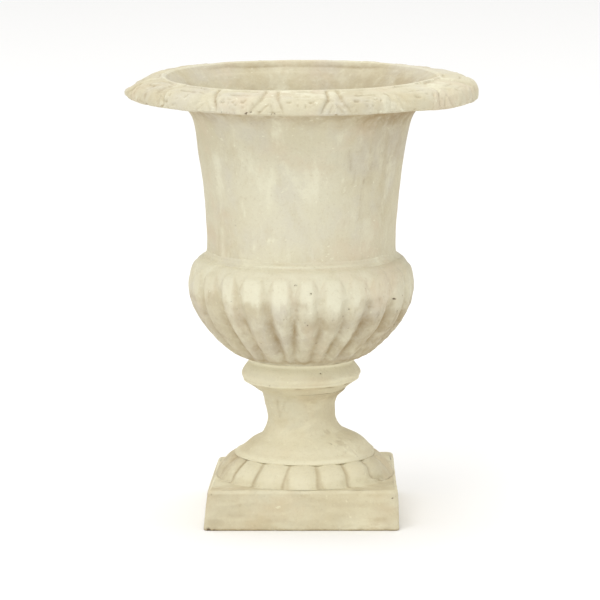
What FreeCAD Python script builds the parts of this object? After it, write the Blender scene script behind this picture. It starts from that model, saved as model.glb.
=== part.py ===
import FreeCAD, Part
import math
import operator
import os

import Sketcher
from FreeCAD import Vector

# Cast iron campana urn, bolted together from five castings.
# Frame: +Z up, origin at the centre of the plinth's underside, front of the urn towards -Y.

# Driving sizes in millimetres; names that end in degrees, count or share are not lengths
sizes = {
    # Plinth: hollow square foot with a ring of cushion blocks on its deck
    "plinth_width": 171.0,
    "plinth_top_width": 163.4,
    "plinth_height": 35.0,
    "plinth_wall": 6.0,
    "plinth_deck": 6.0,
    "plinth_edge_radius": 2.4,
    "ring_foot_radius": 79.4,
    "ring_height": 18.5,
    "ring_brow": 1.4,
    "ring_toe": 2.0,
    "ring_wall": 6.5,
    "block_rise": 2.6,
    "block_gap_degrees": 3.2,
    "block_count": 16,
    "seat_margin": 1.2,
    "seat_thickness": 6.0,
    "register_height": 3.0,
    "register_land": 5.0,
    "register_clearance": 0.4,
    # Stem: hollow waisted pedestal that opens into a dish
    "stem_height": 56.5,
    "dish_radius": 61.2,
    "dish_edge": 1.0,
    "dome_radius": 44.5,
    "dome_height": 15.4,
    "waist_radius": 30.0,
    "waist_height": 34.0,
    "neck_radius": 31.6,
    "neck_height": 46.0,
    "cove_radius": 36.8,
    "band_radius": 37.6,
    "band_height": 1.8,
    "dish_wall": 7.5,
    # Collar: moulded ring between stem and bowl
    "collar_height": 29.0,
    "collar_top_radius": 45.4,
    "collar_bead_height": 2.0,
    "collar_cove_radius": 44.4,
    "collar_cove_height": 26.4,
    "collar_radius": 52.6,
    "collar_bulge_height": 15.4,
    "collar_shoulder_radius": 49.8,
    "collar_shoulder_height": 21.2,
    "collar_lip_radius": 48.0,
    "collar_lip_height": 9.6,
    "collar_foot_radius": 38.8,
    "collar_step_radius": 43.6,
    "collar_step_height": 6.6,
    # Water way and registers shared by stem, collar and bowl
    "bore_radius": 18.0,
    "drain_radius": 13.0,
    "spigot_radius": 24.0,
    "spigot_height": 4.0,
    "spigot_clearance": 0.4,
    # Bowl: gadrooned casting, closed by a floor and by a ledge that takes the wall
    "bowl_height": 92.0,
    "bowl_radius": 99.7,
    "bowl_wall": 6.0,
    "bowl_floor": 8.0,
    "bowl_floor_radius": 40.0,
    "bowl_belly_height": 62.0,
    "gadroon_depth": 5.0,
    "gadroon_count": 24,
    "gadroon_phase_degrees": 3.4,
    # Bolted joint between bowl and wall
    "ledge_thickness": 6.0,
    "ledge_width": 21.2,
    "putty_thickness": 1.0,
    "putty_bead": 0.7,
    "bolt_inset": 14.2,
    "flange_bolt_count": 4,
    # Rim and wall: one casting, plain wall and flared mouth
    "wall_height": 158.0,
    "wall_foot_inset": 1.74,
    "wall_thickness": 6.0,
    "wall_inner_chamfer": 1.5,
    "wall_flare_swell": 12.8,
    "wall_flare_height": 116.5,
    "rim_root_swell": 28.8,
    "rim_root_drop": 21.5,
    "rim_radius": 155.5,
    "rim_lip_drop": 15.5,
    "rim_lip_foot": 17.7,
    "rim_lip_width": 6.0,
    "rim_under_drop": 11.0,
    "rim_shoulder_radius": 146.5,
    "rim_shoulder_drop": 3.4,
    "mouth_radius": 124.0,
    "mouth_edge_radius": 119.0,
    "mouth_edge_drop": 1.6,
    # Tie rod, bridge bars and their nuts
    "rod_radius": 5.0,
    "rod_chamfer": 0.8,
    "rod_end": 2.5,
    "thread_clearance": 0.15,
    "hole_clearance": 0.5,
    "bar_length": 62.0,
    "bar_width": 18.0,
    "bar_thickness": 6.0,
    "bar_edge_radius": 1.0,
    "rod_nut_width": 16.0,
    "rod_nut_height": 8.4,
    "rod_washer_radius": 10.0,
    "rod_washer_thickness": 2.0,
    "spring_washer_radius": 8.8,
    "spring_washer_thickness": 2.2,
    "spring_washer_gap": 1.6,
    # Four flange bolts with washers and nuts
    "bolt_radius": 3.0,
    "bolt_head_width": 10.0,
    "bolt_head_height": 4.0,
    "bolt_nut_height": 5.0,
    "bolt_end": 1.5,
    "bolt_washer_radius": 6.0,
    "bolt_washer_thickness": 1.6,
    # One overrun for every cut
    "overrun": 2.0,
}

# How far each curved stretch of an outline bows out, as a share of its chord; hollow when negative
bow_shares = {
    "wall": -0.03,
    "flare": -0.114,
    "rim_underside": -0.05,
    "lip_underside": 0.2,
    "lip_front": 0.12,
    "rim_roll": 0.17,
    "rim_top": 0.02,
    "mouth_edge": 0.24,
    "inner_flare": 0.075,
    "inner_wall": 0.03,
    "waist": -0.17,
    "neck": -0.02,
    "cove": -0.12,
    "collar_roll": 0.12,
    "collar_cove": -0.08,
    "block_face": 0.045,
    "bowl_floor": 0.14,
    "bowl_shoulder": 0.12,
    "putty": 0.42,
}

# Gadrooned skin of the bowl, from its foot to its top edge: share of the height,
# share of the bowl's radius at a lobe's crest, share of the full groove depth
gadroon_section_shares = (
    (0.000, 0.475, 0.35),
    (0.014, 0.535, 0.42),
    (0.049, 0.597, 0.50),
    (0.130, 0.695, 0.75),
    (0.250, 0.802, 0.92),
    (0.397, 0.905, 1.00),
    (0.543, 0.975, 1.00),
    (0.685, 1.000, 0.88),
    (0.804, 0.990, 0.45),
    (0.891, 0.966, 0.05),
    (0.951, 0.925, 0.00),
    (1.000, 0.852, 0.00),
)
# Half width of a lobe in its pitch, and how far its edge has dropped into the groove
lobe_half_width_share = 0.33
lobe_edge_drop_share = 0.5

doc = FreeCAD.newDocument("urn")
sheet = doc.addObject("Spreadsheet::Sheet", "Sizes")
for row, (alias, value) in enumerate(sizes.items(), 1):
    sheet.set(f"A{row}", alias)
    sheet.set(f"B{row}", str(value))
    sheet.setAlias(f"B{row}", alias)
doc.recompute()


class Size:
    """A length together with the expression that gives it from the sheet."""

    signs = {"+": operator.add, "-": operator.sub, "*": operator.mul, "/": operator.truediv}

    def __init__(self, value, text):
        self.value = value
        self.text = text

    def joined(self, sign, other):
        """This size and another one, or a plain number, joined by a sign."""
        other = other if isinstance(other, Size) else Size(other, repr(other))
        value = self.signs[sign](self.value, other.value)
        return Size(value, f"({self.text} {sign} {other.text})")

    def __add__(self, other):
        return self.joined("+", other)

    def __sub__(self, other):
        return self.joined("-", other)

    def __mul__(self, other):
        return self.joined("*", other)

    def __truediv__(self, other):
        return self.joined("/", other)

    def reversed(self):
        """The same length the other way."""
        return self * -1

    def across(self, other):
        """The diagonal over this size and another one."""
        text = f"sqrt({self.text} * {self.text} + {other.text} * {other.text})"
        return Size(math.hypot(self.value, other.value), text)


def size(alias):
    """A driving size, read from its cell."""
    return Size(float(sheet.get(alias)), f"Sizes.{alias}")


def bind(item, path, length):
    """Tie one property of an object to a size."""
    item.setExpression(path, length.text)


def place(item, along_x=None, along_y=None, along_z=None):
    """Tie the object's place to sizes."""
    for axis, length in (("x", along_x), ("y", along_y), ("z", along_z)):
        if length is not None:
            bind(item, f"Placement.Base.{axis}", length)


# Heights at which the pieces of the stack meet
seat_level = size("plinth_height") + size("ring_height")
collar_level = seat_level + size("stem_height")
bowl_level = collar_level + size("collar_height")
joint_level = bowl_level + size("bowl_height")
wall_level = joint_level + size("putty_thickness")

# Radii of wall, ledge and bolt circle, which follow the bowl's top edge
bowl_top_radius = size("bowl_radius") * gadroon_section_shares[-1][1]
wall_foot_radius = bowl_top_radius - size("wall_foot_inset")
wall_flare_radius = wall_foot_radius + size("wall_flare_swell")
rim_root_radius = wall_foot_radius + size("rim_root_swell")
ledge_inner_radius = wall_foot_radius - size("ledge_width")
bolt_circle_radius = wall_foot_radius - size("bolt_inset")


def origin_plane(body, role):
    """One of a body's own origin planes, by its role."""
    return next(plane for plane in body.Origin.OriginFeatures if plane.Role == role)


def sketch_on(body, name, role):
    """An empty sketch on one of the body's origin planes."""
    sketch = body.newObject("Sketcher::SketchObject", name)
    sketch.AttachmentSupport = (origin_plane(body, role), "")
    sketch.MapMode = "FlatFace"
    return sketch


def hold(sketch, kind, geometry, point, length):
    """Hold one end point at a distance from the sketch's origin."""
    if length == 0:
        axis = -2 if kind == "DistanceX" else -1
        sketch.addConstraint(Sketcher.Constraint("PointOnObject", geometry, point, axis))
        return
    index = sketch.addConstraint(Sketcher.Constraint(kind, -1, 1, geometry, point, length.value))
    sketch.setExpression(f"Constraints[{index}]", length.text)


def number(length):
    """The value of a size, or zero."""
    return length.value if isinstance(length, Size) else float(length)


def draw_outline(sketch, corners):
    """A closed outline through corners (x, y) or (x, y, bow), run anticlockwise.

    The bow names the stretch that starts at the corner: a straight line without one,
    and else an arc that bows away from the material by that share of its chord.
    """
    ends = []
    for index, corner in enumerate(corners):
        following = corners[(index + 1) % len(corners)]
        start = Vector(number(corner[0]), number(corner[1]), 0)
        finish = Vector(number(following[0]), number(following[1]), 0)
        bow = bow_shares[corner[2]] if len(corner) > 2 else 0
        if bow == 0:
            geometry = sketch.addGeometry(Part.LineSegment(start, finish), False)
            ends.append((geometry, 1, 2))
            continue
        chord = finish - start
        factor = abs(bow) / 2 + 1 / (8 * abs(bow))
        radius = chord.Length * factor
        left = Vector(-chord.y, chord.x, 0).normalize()
        offset = math.copysign(radius - chord.Length * abs(bow), bow)
        centre = (start + finish) / 2 + left * offset
        first, last = (start, finish) if bow > 0 else (finish, start)
        angles = [math.atan2((end - centre).y, (end - centre).x) for end in (first, last)]
        circle = Part.Circle(centre, Vector(0, 0, 1), radius)
        geometry = sketch.addGeometry(Part.ArcOfCircle(circle, *angles), False)
        ends.append((geometry, 1, 2) if bow > 0 else (geometry, 2, 1))
        run = [as_size(following[axis]) - as_size(corner[axis]) for axis in (0, 1)]
        length = run[0].across(run[1]) * factor
        index = sketch.addConstraint(Sketcher.Constraint("Radius", geometry, radius))
        sketch.setExpression(f"Constraints[{index}]", length.text)
    for index, (geometry, start, finish) in enumerate(ends):
        after = ends[(index + 1) % len(ends)]
        sketch.addConstraint(Sketcher.Constraint("Coincident", geometry, finish, after[0], after[1]))
        hold(sketch, "DistanceX", geometry, start, corners[index][0])
        hold(sketch, "DistanceY", geometry, start, corners[index][1])


def as_size(length):
    """A size from a size or from zero."""
    return length if isinstance(length, Size) else Size(float(length), "0")


def revolve(body, name, corners, kind="PartDesign::Revolution"):
    """An outline of (radius, height) corners turned about the body's upright axis."""
    sketch = sketch_on(body, name + "_outline", "XZ_Plane")
    draw_outline(sketch, corners)
    feature = body.newObject(kind, name)
    feature.Profile = sketch
    feature.ReferenceAxis = (sketch, ["V_Axis"])
    feature.Angle = 360.0
    return feature


def repeat_round(body, feature, alias):
    """Copies of a feature, evenly spaced about the upright axis."""
    doc.recompute()
    pattern = body.newObject("PartDesign::PolarPattern", feature.Name + "_round")
    pattern.Originals = [feature]
    pattern.Axis = (feature.Profile[0], ["N_Axis"])
    pattern.Angle = 360.0
    pattern.Occurrences = sizes[alias]
    bind(pattern, "Occurrences", size(alias))
    body.Tip = pattern
    return pattern


def tapered_block(body, name, kind, foot_half, top_half, height):
    """A square block or hollow on the body's foot plane, drawn in to its top."""
    sketch = sketch_on(body, name + "_square", "XY_Plane")
    low = foot_half.reversed()
    draw_outline(sketch, [(low, low), (foot_half, low), (foot_half, foot_half), (low, foot_half)])
    feature = body.newObject(kind, name)
    feature.Profile = sketch
    feature.Reversed = kind == "PartDesign::Pocket"
    bind(feature, "Length", height)
    feature.setExpression("TaperAngle", f"atan(({top_half.text} - {foot_half.text}) / {height.text})")
    doc.recompute()
    return feature


def make_plinth():
    """Hollow square foot; its deck carries the ring of cushion blocks and the stem's seat."""
    body = doc.addObject("PartDesign::Body", "plinth")
    half = size("plinth_width") / 2
    top_half = size("plinth_top_width") / 2
    height = size("plinth_height")
    wall = size("plinth_wall")
    deck = height - size("plinth_deck")
    block = tapered_block(body, "square_block", "PartDesign::Pad", half, top_half, height)
    rounded = [
        f"Edge{index}"
        for index, edge in enumerate(block.Shape.Edges, 1)
        if edge.BoundBox.ZMax > height.value / 2
    ]
    fillet = body.newObject("PartDesign::Fillet", "soft_edges")
    fillet.Base = (block, rounded)
    bind(fillet, "Radius", size("plinth_edge_radius"))
    doc.recompute()

    seat = height + size("ring_height")
    rise = size("block_rise")
    toe_radius = size("ring_foot_radius")
    toe_level = height + size("ring_toe")
    seat_radius = size("dish_radius") + size("seat_margin")
    brow_level = seat - size("ring_brow")
    revolve(body, "ring_core", [
        (0, deck),
        (toe_radius - rise, deck),
        (toe_radius - rise, toe_level - rise / 2),
        (seat_radius - rise / 2, brow_level - rise / 2),
        (seat_radius - rise / 2, seat),
        (0, seat),
    ])
    blocks = revolve(body, "cushion_block", [
        (seat_radius - rise, deck),
        (toe_radius, deck),
        (toe_radius, toe_level, "block_face"),
        (seat_radius + rise / 2, brow_level),
        (seat_radius, seat),
        (seat_radius - rise, seat),
    ])
    blocks.Midplane = True
    blocks.Angle = 360.0 / sizes["block_count"] - sizes["block_gap_degrees"]
    blocks.setExpression("Angle", "360 / Sizes.block_count - Sizes.block_gap_degrees")
    doc.recompute()
    pattern = body.newObject("PartDesign::PolarPattern", "cushion_blocks")
    pattern.Originals = [blocks]
    pattern.Axis = (blocks.Profile[0], ["V_Axis"])
    pattern.Angle = 360.0
    pattern.Occurrences = sizes["block_count"]
    bind(pattern, "Occurrences", size("block_count"))
    body.Tip = pattern
    doc.recompute()

    tapered_block(body, "hollow", "PartDesign::Pocket", half - wall, top_half - wall, deck)

    ring_wall = size("ring_wall")
    ceiling = seat - size("seat_thickness")
    revolve(body, "ring_hollow", [
        (0, deck - size("overrun")),
        (toe_radius - rise - ring_wall, deck - size("overrun")),
        (toe_radius - rise - ring_wall, deck),
        (seat_radius - ring_wall - rise, ceiling),
        (0, ceiling),
    ], "PartDesign::Groove")
    doc.recompute()
    revolve(body, "drain", [
        (0, ceiling - size("overrun")),
        (size("drain_radius"), ceiling - size("overrun")),
        (size("drain_radius"), seat + size("overrun")),
        (0, seat + size("overrun")),
    ], "PartDesign::Groove")
    doc.recompute()
    register_radius = size("dish_radius") - size("dish_wall") - size("register_clearance")
    revolve(body, "register", [
        (register_radius - size("register_land"), ceiling),
        (register_radius, ceiling),
        (register_radius, seat + size("register_height")),
        (register_radius - size("register_land"), seat + size("register_height")),
    ])
    return body


def make_stem():
    """Hollow pedestal: dish edge, dome, waist, neck cove and the band under the collar."""
    body = doc.addObject("PartDesign::Body", "stem")
    height = size("stem_height")
    bore = size("bore_radius")
    socket = size("spigot_radius")
    dish_inside = size("dish_radius") - size("dish_wall")
    revolve(body, "pedestal", [
        (dish_inside, 0),
        (size("dish_radius"), 0),
        (size("dish_radius"), size("dish_edge")),
        (size("dome_radius"), size("dome_height"), "waist"),
        (size("waist_radius"), size("waist_height"), "neck"),
        (size("neck_radius"), size("neck_height"), "cove"),
        (size("cove_radius"), height - size("band_height")),
        (size("band_radius"), height - size("band_height")),
        (size("band_radius"), height),
        (socket, height),
        (socket, height - size("spigot_height") - size("spigot_clearance")),
        (bore, height - size("spigot_height") - size("spigot_clearance")),
        (bore, size("waist_height")),
        (size("dome_radius") - size("dish_wall"), size("dome_height") - size("dish_wall") / 2),
        (dish_inside, size("register_height") + size("register_clearance")),
    ])
    place(body, along_z=seat_level)
    return body


def make_collar():
    """Moulded ring with a rolled bulge; its spigot sits in the stem."""
    body = doc.addObject("PartDesign::Body", "collar")
    height = size("collar_height")
    spigot = size("spigot_radius") - size("spigot_clearance")
    socket = size("spigot_radius")
    depth = size("spigot_height") + size("spigot_clearance")
    revolve(body, "ring", [
        (size("bore_radius"), size("spigot_height").reversed()),
        (spigot, size("spigot_height").reversed()),
        (spigot, 0),
        (size("collar_foot_radius"), 0),
        (size("collar_step_radius"), size("collar_step_height")),
        (size("collar_lip_radius"), size("collar_lip_height"), "collar_roll"),
        (size("collar_radius"), size("collar_bulge_height"), "collar_roll"),
        (size("collar_shoulder_radius"), size("collar_shoulder_height"), "collar_cove"),
        (size("collar_cove_radius"), size("collar_cove_height")),
        (size("collar_top_radius"), height - size("collar_bead_height")),
        (size("collar_top_radius"), height),
        (socket, height),
        (socket, height - depth),
        (size("bore_radius"), height - depth),
    ])
    place(body, along_z=collar_level)
    return body


def gadroon_section(level_share, radius_share, depth_share):
    """One closed section of the bowl: an arc over each lobe and one through each groove."""
    level = size("bowl_height").value * level_share
    crest = size("bowl_radius").value * radius_share
    depth = size("gadroon_depth").value * depth_share
    count = int(sizes["gadroon_count"])
    pitch = math.tau / count
    phase = math.radians(sizes["gadroon_phase_degrees"])
    edges = []

    def spot(turn, drop):
        angle = phase + turn * pitch
        radius = crest - depth * drop
        return Vector(radius * math.cos(angle), radius * math.sin(angle), level)

    for lobe in range(count):
        before = spot(lobe - lobe_half_width_share, lobe_edge_drop_share)
        after = spot(lobe + lobe_half_width_share, lobe_edge_drop_share)
        onward = spot(lobe + 1 - lobe_half_width_share, lobe_edge_drop_share)
        edges.append(Part.Arc(before, spot(lobe, 0), after).toShape())
        edges.append(Part.Arc(after, spot(lobe + 1 / 2, 1), onward).toShape())
    return Part.Wire(edges)


def turned(name, corners):
    """A free outline of (radius, height) corners turned about the upright axis."""
    sketch = doc.addObject("Sketcher::SketchObject", name + "_outline")
    sketch.Placement = FreeCAD.Placement(Vector(), FreeCAD.Rotation(Vector(1, 0, 0), 90))
    draw_outline(sketch, corners)
    solid = doc.addObject("Part::Revolution", name)
    solid.Source = sketch
    solid.Axis = Vector(0, 0, 1)
    solid.Angle = 360.0
    solid.Solid = True
    return solid


def cylinder(name, radius, height, along_z=None):
    """An upright cylinder."""
    solid = doc.addObject("Part::Cylinder", name)
    bind(solid, "Radius", radius)
    bind(solid, "Height", height)
    place(solid, along_z=along_z)
    return solid


def joined(kind, name, first, second):
    """A Part boolean of two objects; the second is the tool."""
    solid = doc.addObject(kind, name)
    solid.Base = first
    solid.Tool = second
    return solid


def round_the_flange(name, make_one):
    """One copy of a piece at each flange bolt, kept as separate solids."""
    count = int(sizes["flange_bolt_count"])
    copies = []
    for index in range(count):
        turn = math.tau * index / count
        copy = make_one(f"{name}_{index + 1}")
        bind(copy, "Placement.Base.x", bolt_circle_radius * round(math.cos(turn), 6))
        bind(copy, "Placement.Base.y", bolt_circle_radius * round(math.sin(turn), 6))
        copies.append(copy)
    group = doc.addObject("Part::Compound", name)
    group.Links = copies
    return group


def make_bowl():
    """Gadrooned bowl: the fluted skin less its hollow, drain and bolt holes, plus the spigot."""
    skin = doc.addObject("Part::Feature", "bowl_skin")
    skin.Shape = Part.makeLoft([gadroon_section(*shares) for shares in gadroon_section_shares], True)
    height = size("bowl_height")
    wall = size("bowl_wall")
    depth = size("gadroon_depth")
    belly = size("bowl_radius") - depth - wall
    under_ledge = height - size("ledge_thickness")
    hollow = turned("bowl_hollow", [
        (0, size("bowl_floor")),
        (size("bowl_floor_radius"), size("bowl_floor"), "bowl_floor"),
        (belly, size("bowl_belly_height"), "bowl_shoulder"),
        (bowl_top_radius - wall / 2, under_ledge),
        (ledge_inner_radius, under_ledge),
        (ledge_inner_radius, height + size("overrun")),
        (0, height + size("overrun")),
    ])
    cup = joined("Part::Cut", "bowl_cup", skin, hollow)
    spigot_length = size("spigot_height") + size("bowl_floor") / 2
    spigot = cylinder(
        "bowl_spigot",
        size("spigot_radius") - size("spigot_clearance"),
        spigot_length,
        size("spigot_height").reversed(),
    )
    footed = joined("Part::Fuse", "bowl_footed", cup, spigot)
    drain = cylinder(
        "bowl_drain",
        size("drain_radius"),
        size("spigot_height") + size("bowl_floor") + size("overrun") * 2,
        (size("spigot_height") + size("overrun")).reversed(),
    )
    drained = joined("Part::Cut", "bowl_drained", footed, drain)

    def bolt_hole(name):
        return cylinder(
            name,
            size("bolt_radius") + size("hole_clearance"),
            size("ledge_thickness") + size("overrun") * 2,
            under_ledge - size("overrun"),
        )

    bowl = joined("Part::Cut", "bowl", drained, round_the_flange("bowl_bolt_hole", bolt_hole))
    place(bowl, along_z=bowl_level)
    return bowl


def make_joint_putty_ring():
    """Bedding putty between bowl and wall, squeezed out as a thin bead at the seam."""
    body = doc.addObject("PartDesign::Body", "joint_putty_ring")
    bead_radius = wall_foot_radius + size("putty_bead")
    inner = bolt_circle_radius + size("bolt_washer_radius")
    revolve(body, "bead", [
        (inner, 0),
        (bead_radius, 0, "putty"),
        (bead_radius, size("putty_thickness")),
        (inner, size("putty_thickness")),
    ])
    place(body, along_z=joint_level)
    return body


def make_rim_and_wall():
    """Upper casting: inward flange, plain wall, flared mouth and the heavy rolled rim."""
    body = doc.addObject("PartDesign::Body", "rim_and_wall")
    height = size("wall_height")
    wall = size("wall_thickness")
    chamfer = size("wall_inner_chamfer")
    revolve(body, "shell", [
        (ledge_inner_radius, 0),
        (wall_foot_radius, 0, "wall"),
        (wall_flare_radius, size("wall_flare_height"), "flare"),
        (rim_root_radius, height - size("rim_root_drop"), "rim_underside"),
        (size("rim_radius") - size("rim_lip_width") * 2, height - size("rim_under_drop")),
        (size("rim_radius") - size("rim_lip_width"), height - size("rim_lip_foot"), "lip_underside"),
        (size("rim_radius"), height - size("rim_lip_drop"), "rim_roll"),
        (size("rim_shoulder_radius"), height - size("rim_shoulder_drop"), "rim_top"),
        (size("mouth_radius"), height - size("mouth_edge_drop") / 2, "mouth_edge"),
        (size("mouth_edge_radius"), height - size("mouth_edge_drop"), "inner_flare"),
        (wall_flare_radius - wall, size("wall_flare_height"), "inner_wall"),
        (wall_foot_radius - wall, size("ledge_thickness") + chamfer),
        (wall_foot_radius - wall - chamfer, size("ledge_thickness")),
        (ledge_inner_radius, size("ledge_thickness")),
    ])
    holes = sketch_on(body, "bolt_hole_circle", "XY_Plane")
    radius = size("bolt_radius") + size("hole_clearance")
    centre = Vector(bolt_circle_radius.value, 0, 0)
    circle = holes.addGeometry(Part.Circle(centre, Vector(0, 0, 1), radius.value), False)
    holes.addConstraint(Sketcher.Constraint("PointOnObject", circle, 3, -1))
    hold(holes, "DistanceX", circle, 3, bolt_circle_radius)
    index = holes.addConstraint(Sketcher.Constraint("Radius", circle, radius.value))
    holes.setExpression(f"Constraints[{index}]", radius.text)
    doc.recompute()
    pocket = body.newObject("PartDesign::Pocket", "bolt_hole")
    pocket.Profile = holes
    pocket.Reversed = True
    bind(pocket, "Length", size("ledge_thickness") + size("overrun"))
    repeat_round(body, pocket, "flange_bolt_count")
    place(body, along_z=wall_level)
    return body


def hex_prism(name, width, height, along_z=None):
    """A hexagonal prism, by its width across flats."""
    solid = doc.addObject("Part::Prism", name)
    solid.Polygon = 6
    bind(solid, "Circumradius", width / math.sqrt(3))
    bind(solid, "Height", height)
    place(solid, along_z=along_z)
    return solid


def washer(name, radius, hole_radius, thickness):
    """A flat ring."""
    return joined(
        "Part::Cut",
        name,
        cylinder(name + "_disc", radius, thickness),
        cylinder(name + "_hole", hole_radius, thickness + size("overrun") * 2, size("overrun").reversed()),
    )


def nut(name, width, height, rod_radius):
    """A hexagonal nut with a thread clearance round its rod."""
    bore = rod_radius + size("thread_clearance")
    return joined(
        "Part::Cut",
        name,
        hex_prism(name + "_blank", width, height),
        cylinder(name + "_hole", bore, height + size("overrun") * 2, size("overrun").reversed()),
    )


# Levels of the pieces on the tie rod, upwards from the bowl's floor and down from the plinth's seat
top_bar_level = bowl_level + size("bowl_floor")
top_washer_level = top_bar_level + size("bar_thickness")
top_nut_level = top_washer_level + size("rod_washer_thickness")
rod_top_level = top_nut_level + size("rod_nut_height") + size("rod_end")
bottom_bar_level = seat_level - size("seat_thickness") - size("bar_thickness")
bottom_washer_level = bottom_bar_level - size("rod_washer_thickness")
spring_washer_level = bottom_washer_level - size("spring_washer_thickness")
bottom_nut_level = spring_washer_level - size("rod_nut_height")
rod_foot_level = bottom_nut_level - size("rod_end")


def make_tie_rod():
    """Threaded rod through the whole foot, with chamfered ends."""
    body = doc.addObject("PartDesign::Body", "tie_rod")
    length = rod_top_level - rod_foot_level
    chamfer = size("rod_chamfer")
    revolve(body, "rod", [
        (0, 0),
        (size("rod_radius") - chamfer, 0),
        (size("rod_radius"), chamfer),
        (size("rod_radius"), length - chamfer),
        (size("rod_radius") - chamfer, length),
        (0, length),
    ])
    place(body, along_z=rod_foot_level)
    return body


def make_bar(name, level):
    """Bridge bar with rounded long edges and a hole for the rod."""
    length = size("bar_length")
    width = size("bar_width")
    thickness = size("bar_thickness")
    body = doc.addObject("PartDesign::Body", name)
    sketch = sketch_on(body, name + "_outline", "XY_Plane")
    draw_outline(sketch, [
        (length.reversed() / 2, width.reversed() / 2),
        (length / 2, width.reversed() / 2),
        (length / 2, width / 2),
        (length.reversed() / 2, width / 2),
    ])
    pad = body.newObject("PartDesign::Pad", name + "_blank")
    pad.Profile = sketch
    bind(pad, "Length", thickness)
    doc.recompute()
    fillet = body.newObject("PartDesign::Fillet", name + "_soft_edges")
    fillet.Base = (pad, [f"Edge{index}" for index in range(1, len(pad.Shape.Edges) + 1)])
    bind(fillet, "Radius", size("bar_edge_radius"))
    doc.recompute()
    hole_radius = size("rod_radius") + size("hole_clearance")
    revolve(body, name + "_hole", [
        (0, size("overrun").reversed()),
        (hole_radius, size("overrun").reversed()),
        (hole_radius, thickness + size("overrun")),
        (0, thickness + size("overrun")),
    ], "PartDesign::Groove")
    place(body, along_z=level)
    return body


def make_rod_fasteners():
    """Washers and nuts on the tie rod."""
    hole = size("rod_radius") + size("hole_clearance")
    thickness = size("rod_washer_thickness")
    top_washer = washer("top_washer", size("rod_washer_radius"), hole, thickness)
    place(top_washer, along_z=top_washer_level)
    top_nut = nut("top_nut", size("rod_nut_width"), size("rod_nut_height"), size("rod_radius"))
    place(top_nut, along_z=top_nut_level)
    bottom_washer = washer("bottom_washer", size("rod_washer_radius"), hole, thickness)
    place(bottom_washer, along_z=bottom_washer_level)
    bottom_nut = nut("bottom_nut", size("rod_nut_width"), size("rod_nut_height"), size("rod_radius"))
    place(bottom_nut, along_z=bottom_nut_level)
    ring = washer("spring_ring", size("spring_washer_radius"), hole, size("spring_washer_thickness"))
    split = doc.addObject("Part::Box", "spring_split")
    bind(split, "Length", size("spring_washer_radius") + size("overrun"))
    bind(split, "Width", size("spring_washer_gap"))
    bind(split, "Height", size("spring_washer_thickness") + size("overrun") * 2)
    place(split, None, size("spring_washer_gap").reversed() / 2, size("overrun").reversed())
    spring_washer = joined("Part::Cut", "spring_washer", ring, split)
    place(spring_washer, along_z=spring_washer_level)
    return [top_washer, top_nut, bottom_washer, bottom_nut, spring_washer]


def make_flange_fasteners():
    """Four bolts, with a washer on each side and a nut under the ledge."""
    thickness = size("bolt_washer_thickness")
    grip = size("ledge_thickness") * 2 + size("putty_thickness") + thickness * 2
    head_level = wall_level + size("ledge_thickness") + thickness
    nut_level = joint_level - size("ledge_thickness") - thickness - size("bolt_nut_height")
    shank = grip + size("bolt_nut_height") + size("bolt_end")
    hole = size("bolt_radius") + size("hole_clearance")

    def bolt(name):
        head = hex_prism(name + "_head", size("bolt_head_width"), size("bolt_head_height"))
        stem = cylinder(name + "_shank", size("bolt_radius"), shank, shank.reversed())
        return joined("Part::Fuse", name, head, stem)

    def flange_washer(name):
        return washer(name, size("bolt_washer_radius"), hole, thickness)

    def flange_nut(name):
        return nut(name, size("bolt_head_width"), size("bolt_nut_height"), size("bolt_radius"))

    levels = {
        "flange_bolts": (bolt, head_level),
        "flange_top_washers": (flange_washer, head_level - thickness),
        "flange_bottom_washers": (flange_washer, nut_level + size("bolt_nut_height")),
        "flange_nuts": (flange_nut, nut_level),
    }
    groups = []
    for name, (make_one, level) in levels.items():
        group = round_the_flange(name, make_one)
        place(group, along_z=level)
        groups.append(group)
    return groups


subparts = [
    make_plinth(),
    make_stem(),
    make_collar(),
    make_bowl(),
    make_joint_putty_ring(),
    make_rim_and_wall(),
    make_tie_rod(),
    make_bar("top_bar", top_bar_level),
    make_bar("bottom_bar", bottom_bar_level),
    *make_rod_fasteners(),
    *make_flange_fasteners(),
]
doc.recompute()

for item in doc.Objects:
    if "Invalid" in item.State or "Error" in item.State:
        raise RuntimeError(f"{item.Label}: {item.State}")
for subpart in subparts:
    if subpart.Shape.isNull() or not subpart.Shape.isValid() or not subpart.Shape.Solids:
        raise RuntimeError(f"{subpart.Label}: no valid shape")

os.makedirs("parts", exist_ok=True)
for subpart in subparts:
    subpart.Shape.exportStep(f"parts/{subpart.Label}.step")
    box = subpart.Shape.optimalBoundingBox()
    print(
        f"{subpart.Label}: {len(subpart.Shape.Solids)} solid(s), {subpart.Shape.Volume / 1000:.1f} cm3, "
        f"z {box.ZMin:.1f} to {box.ZMax:.1f}, width {box.XLength:.1f}"
    )
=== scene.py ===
import math

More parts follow.
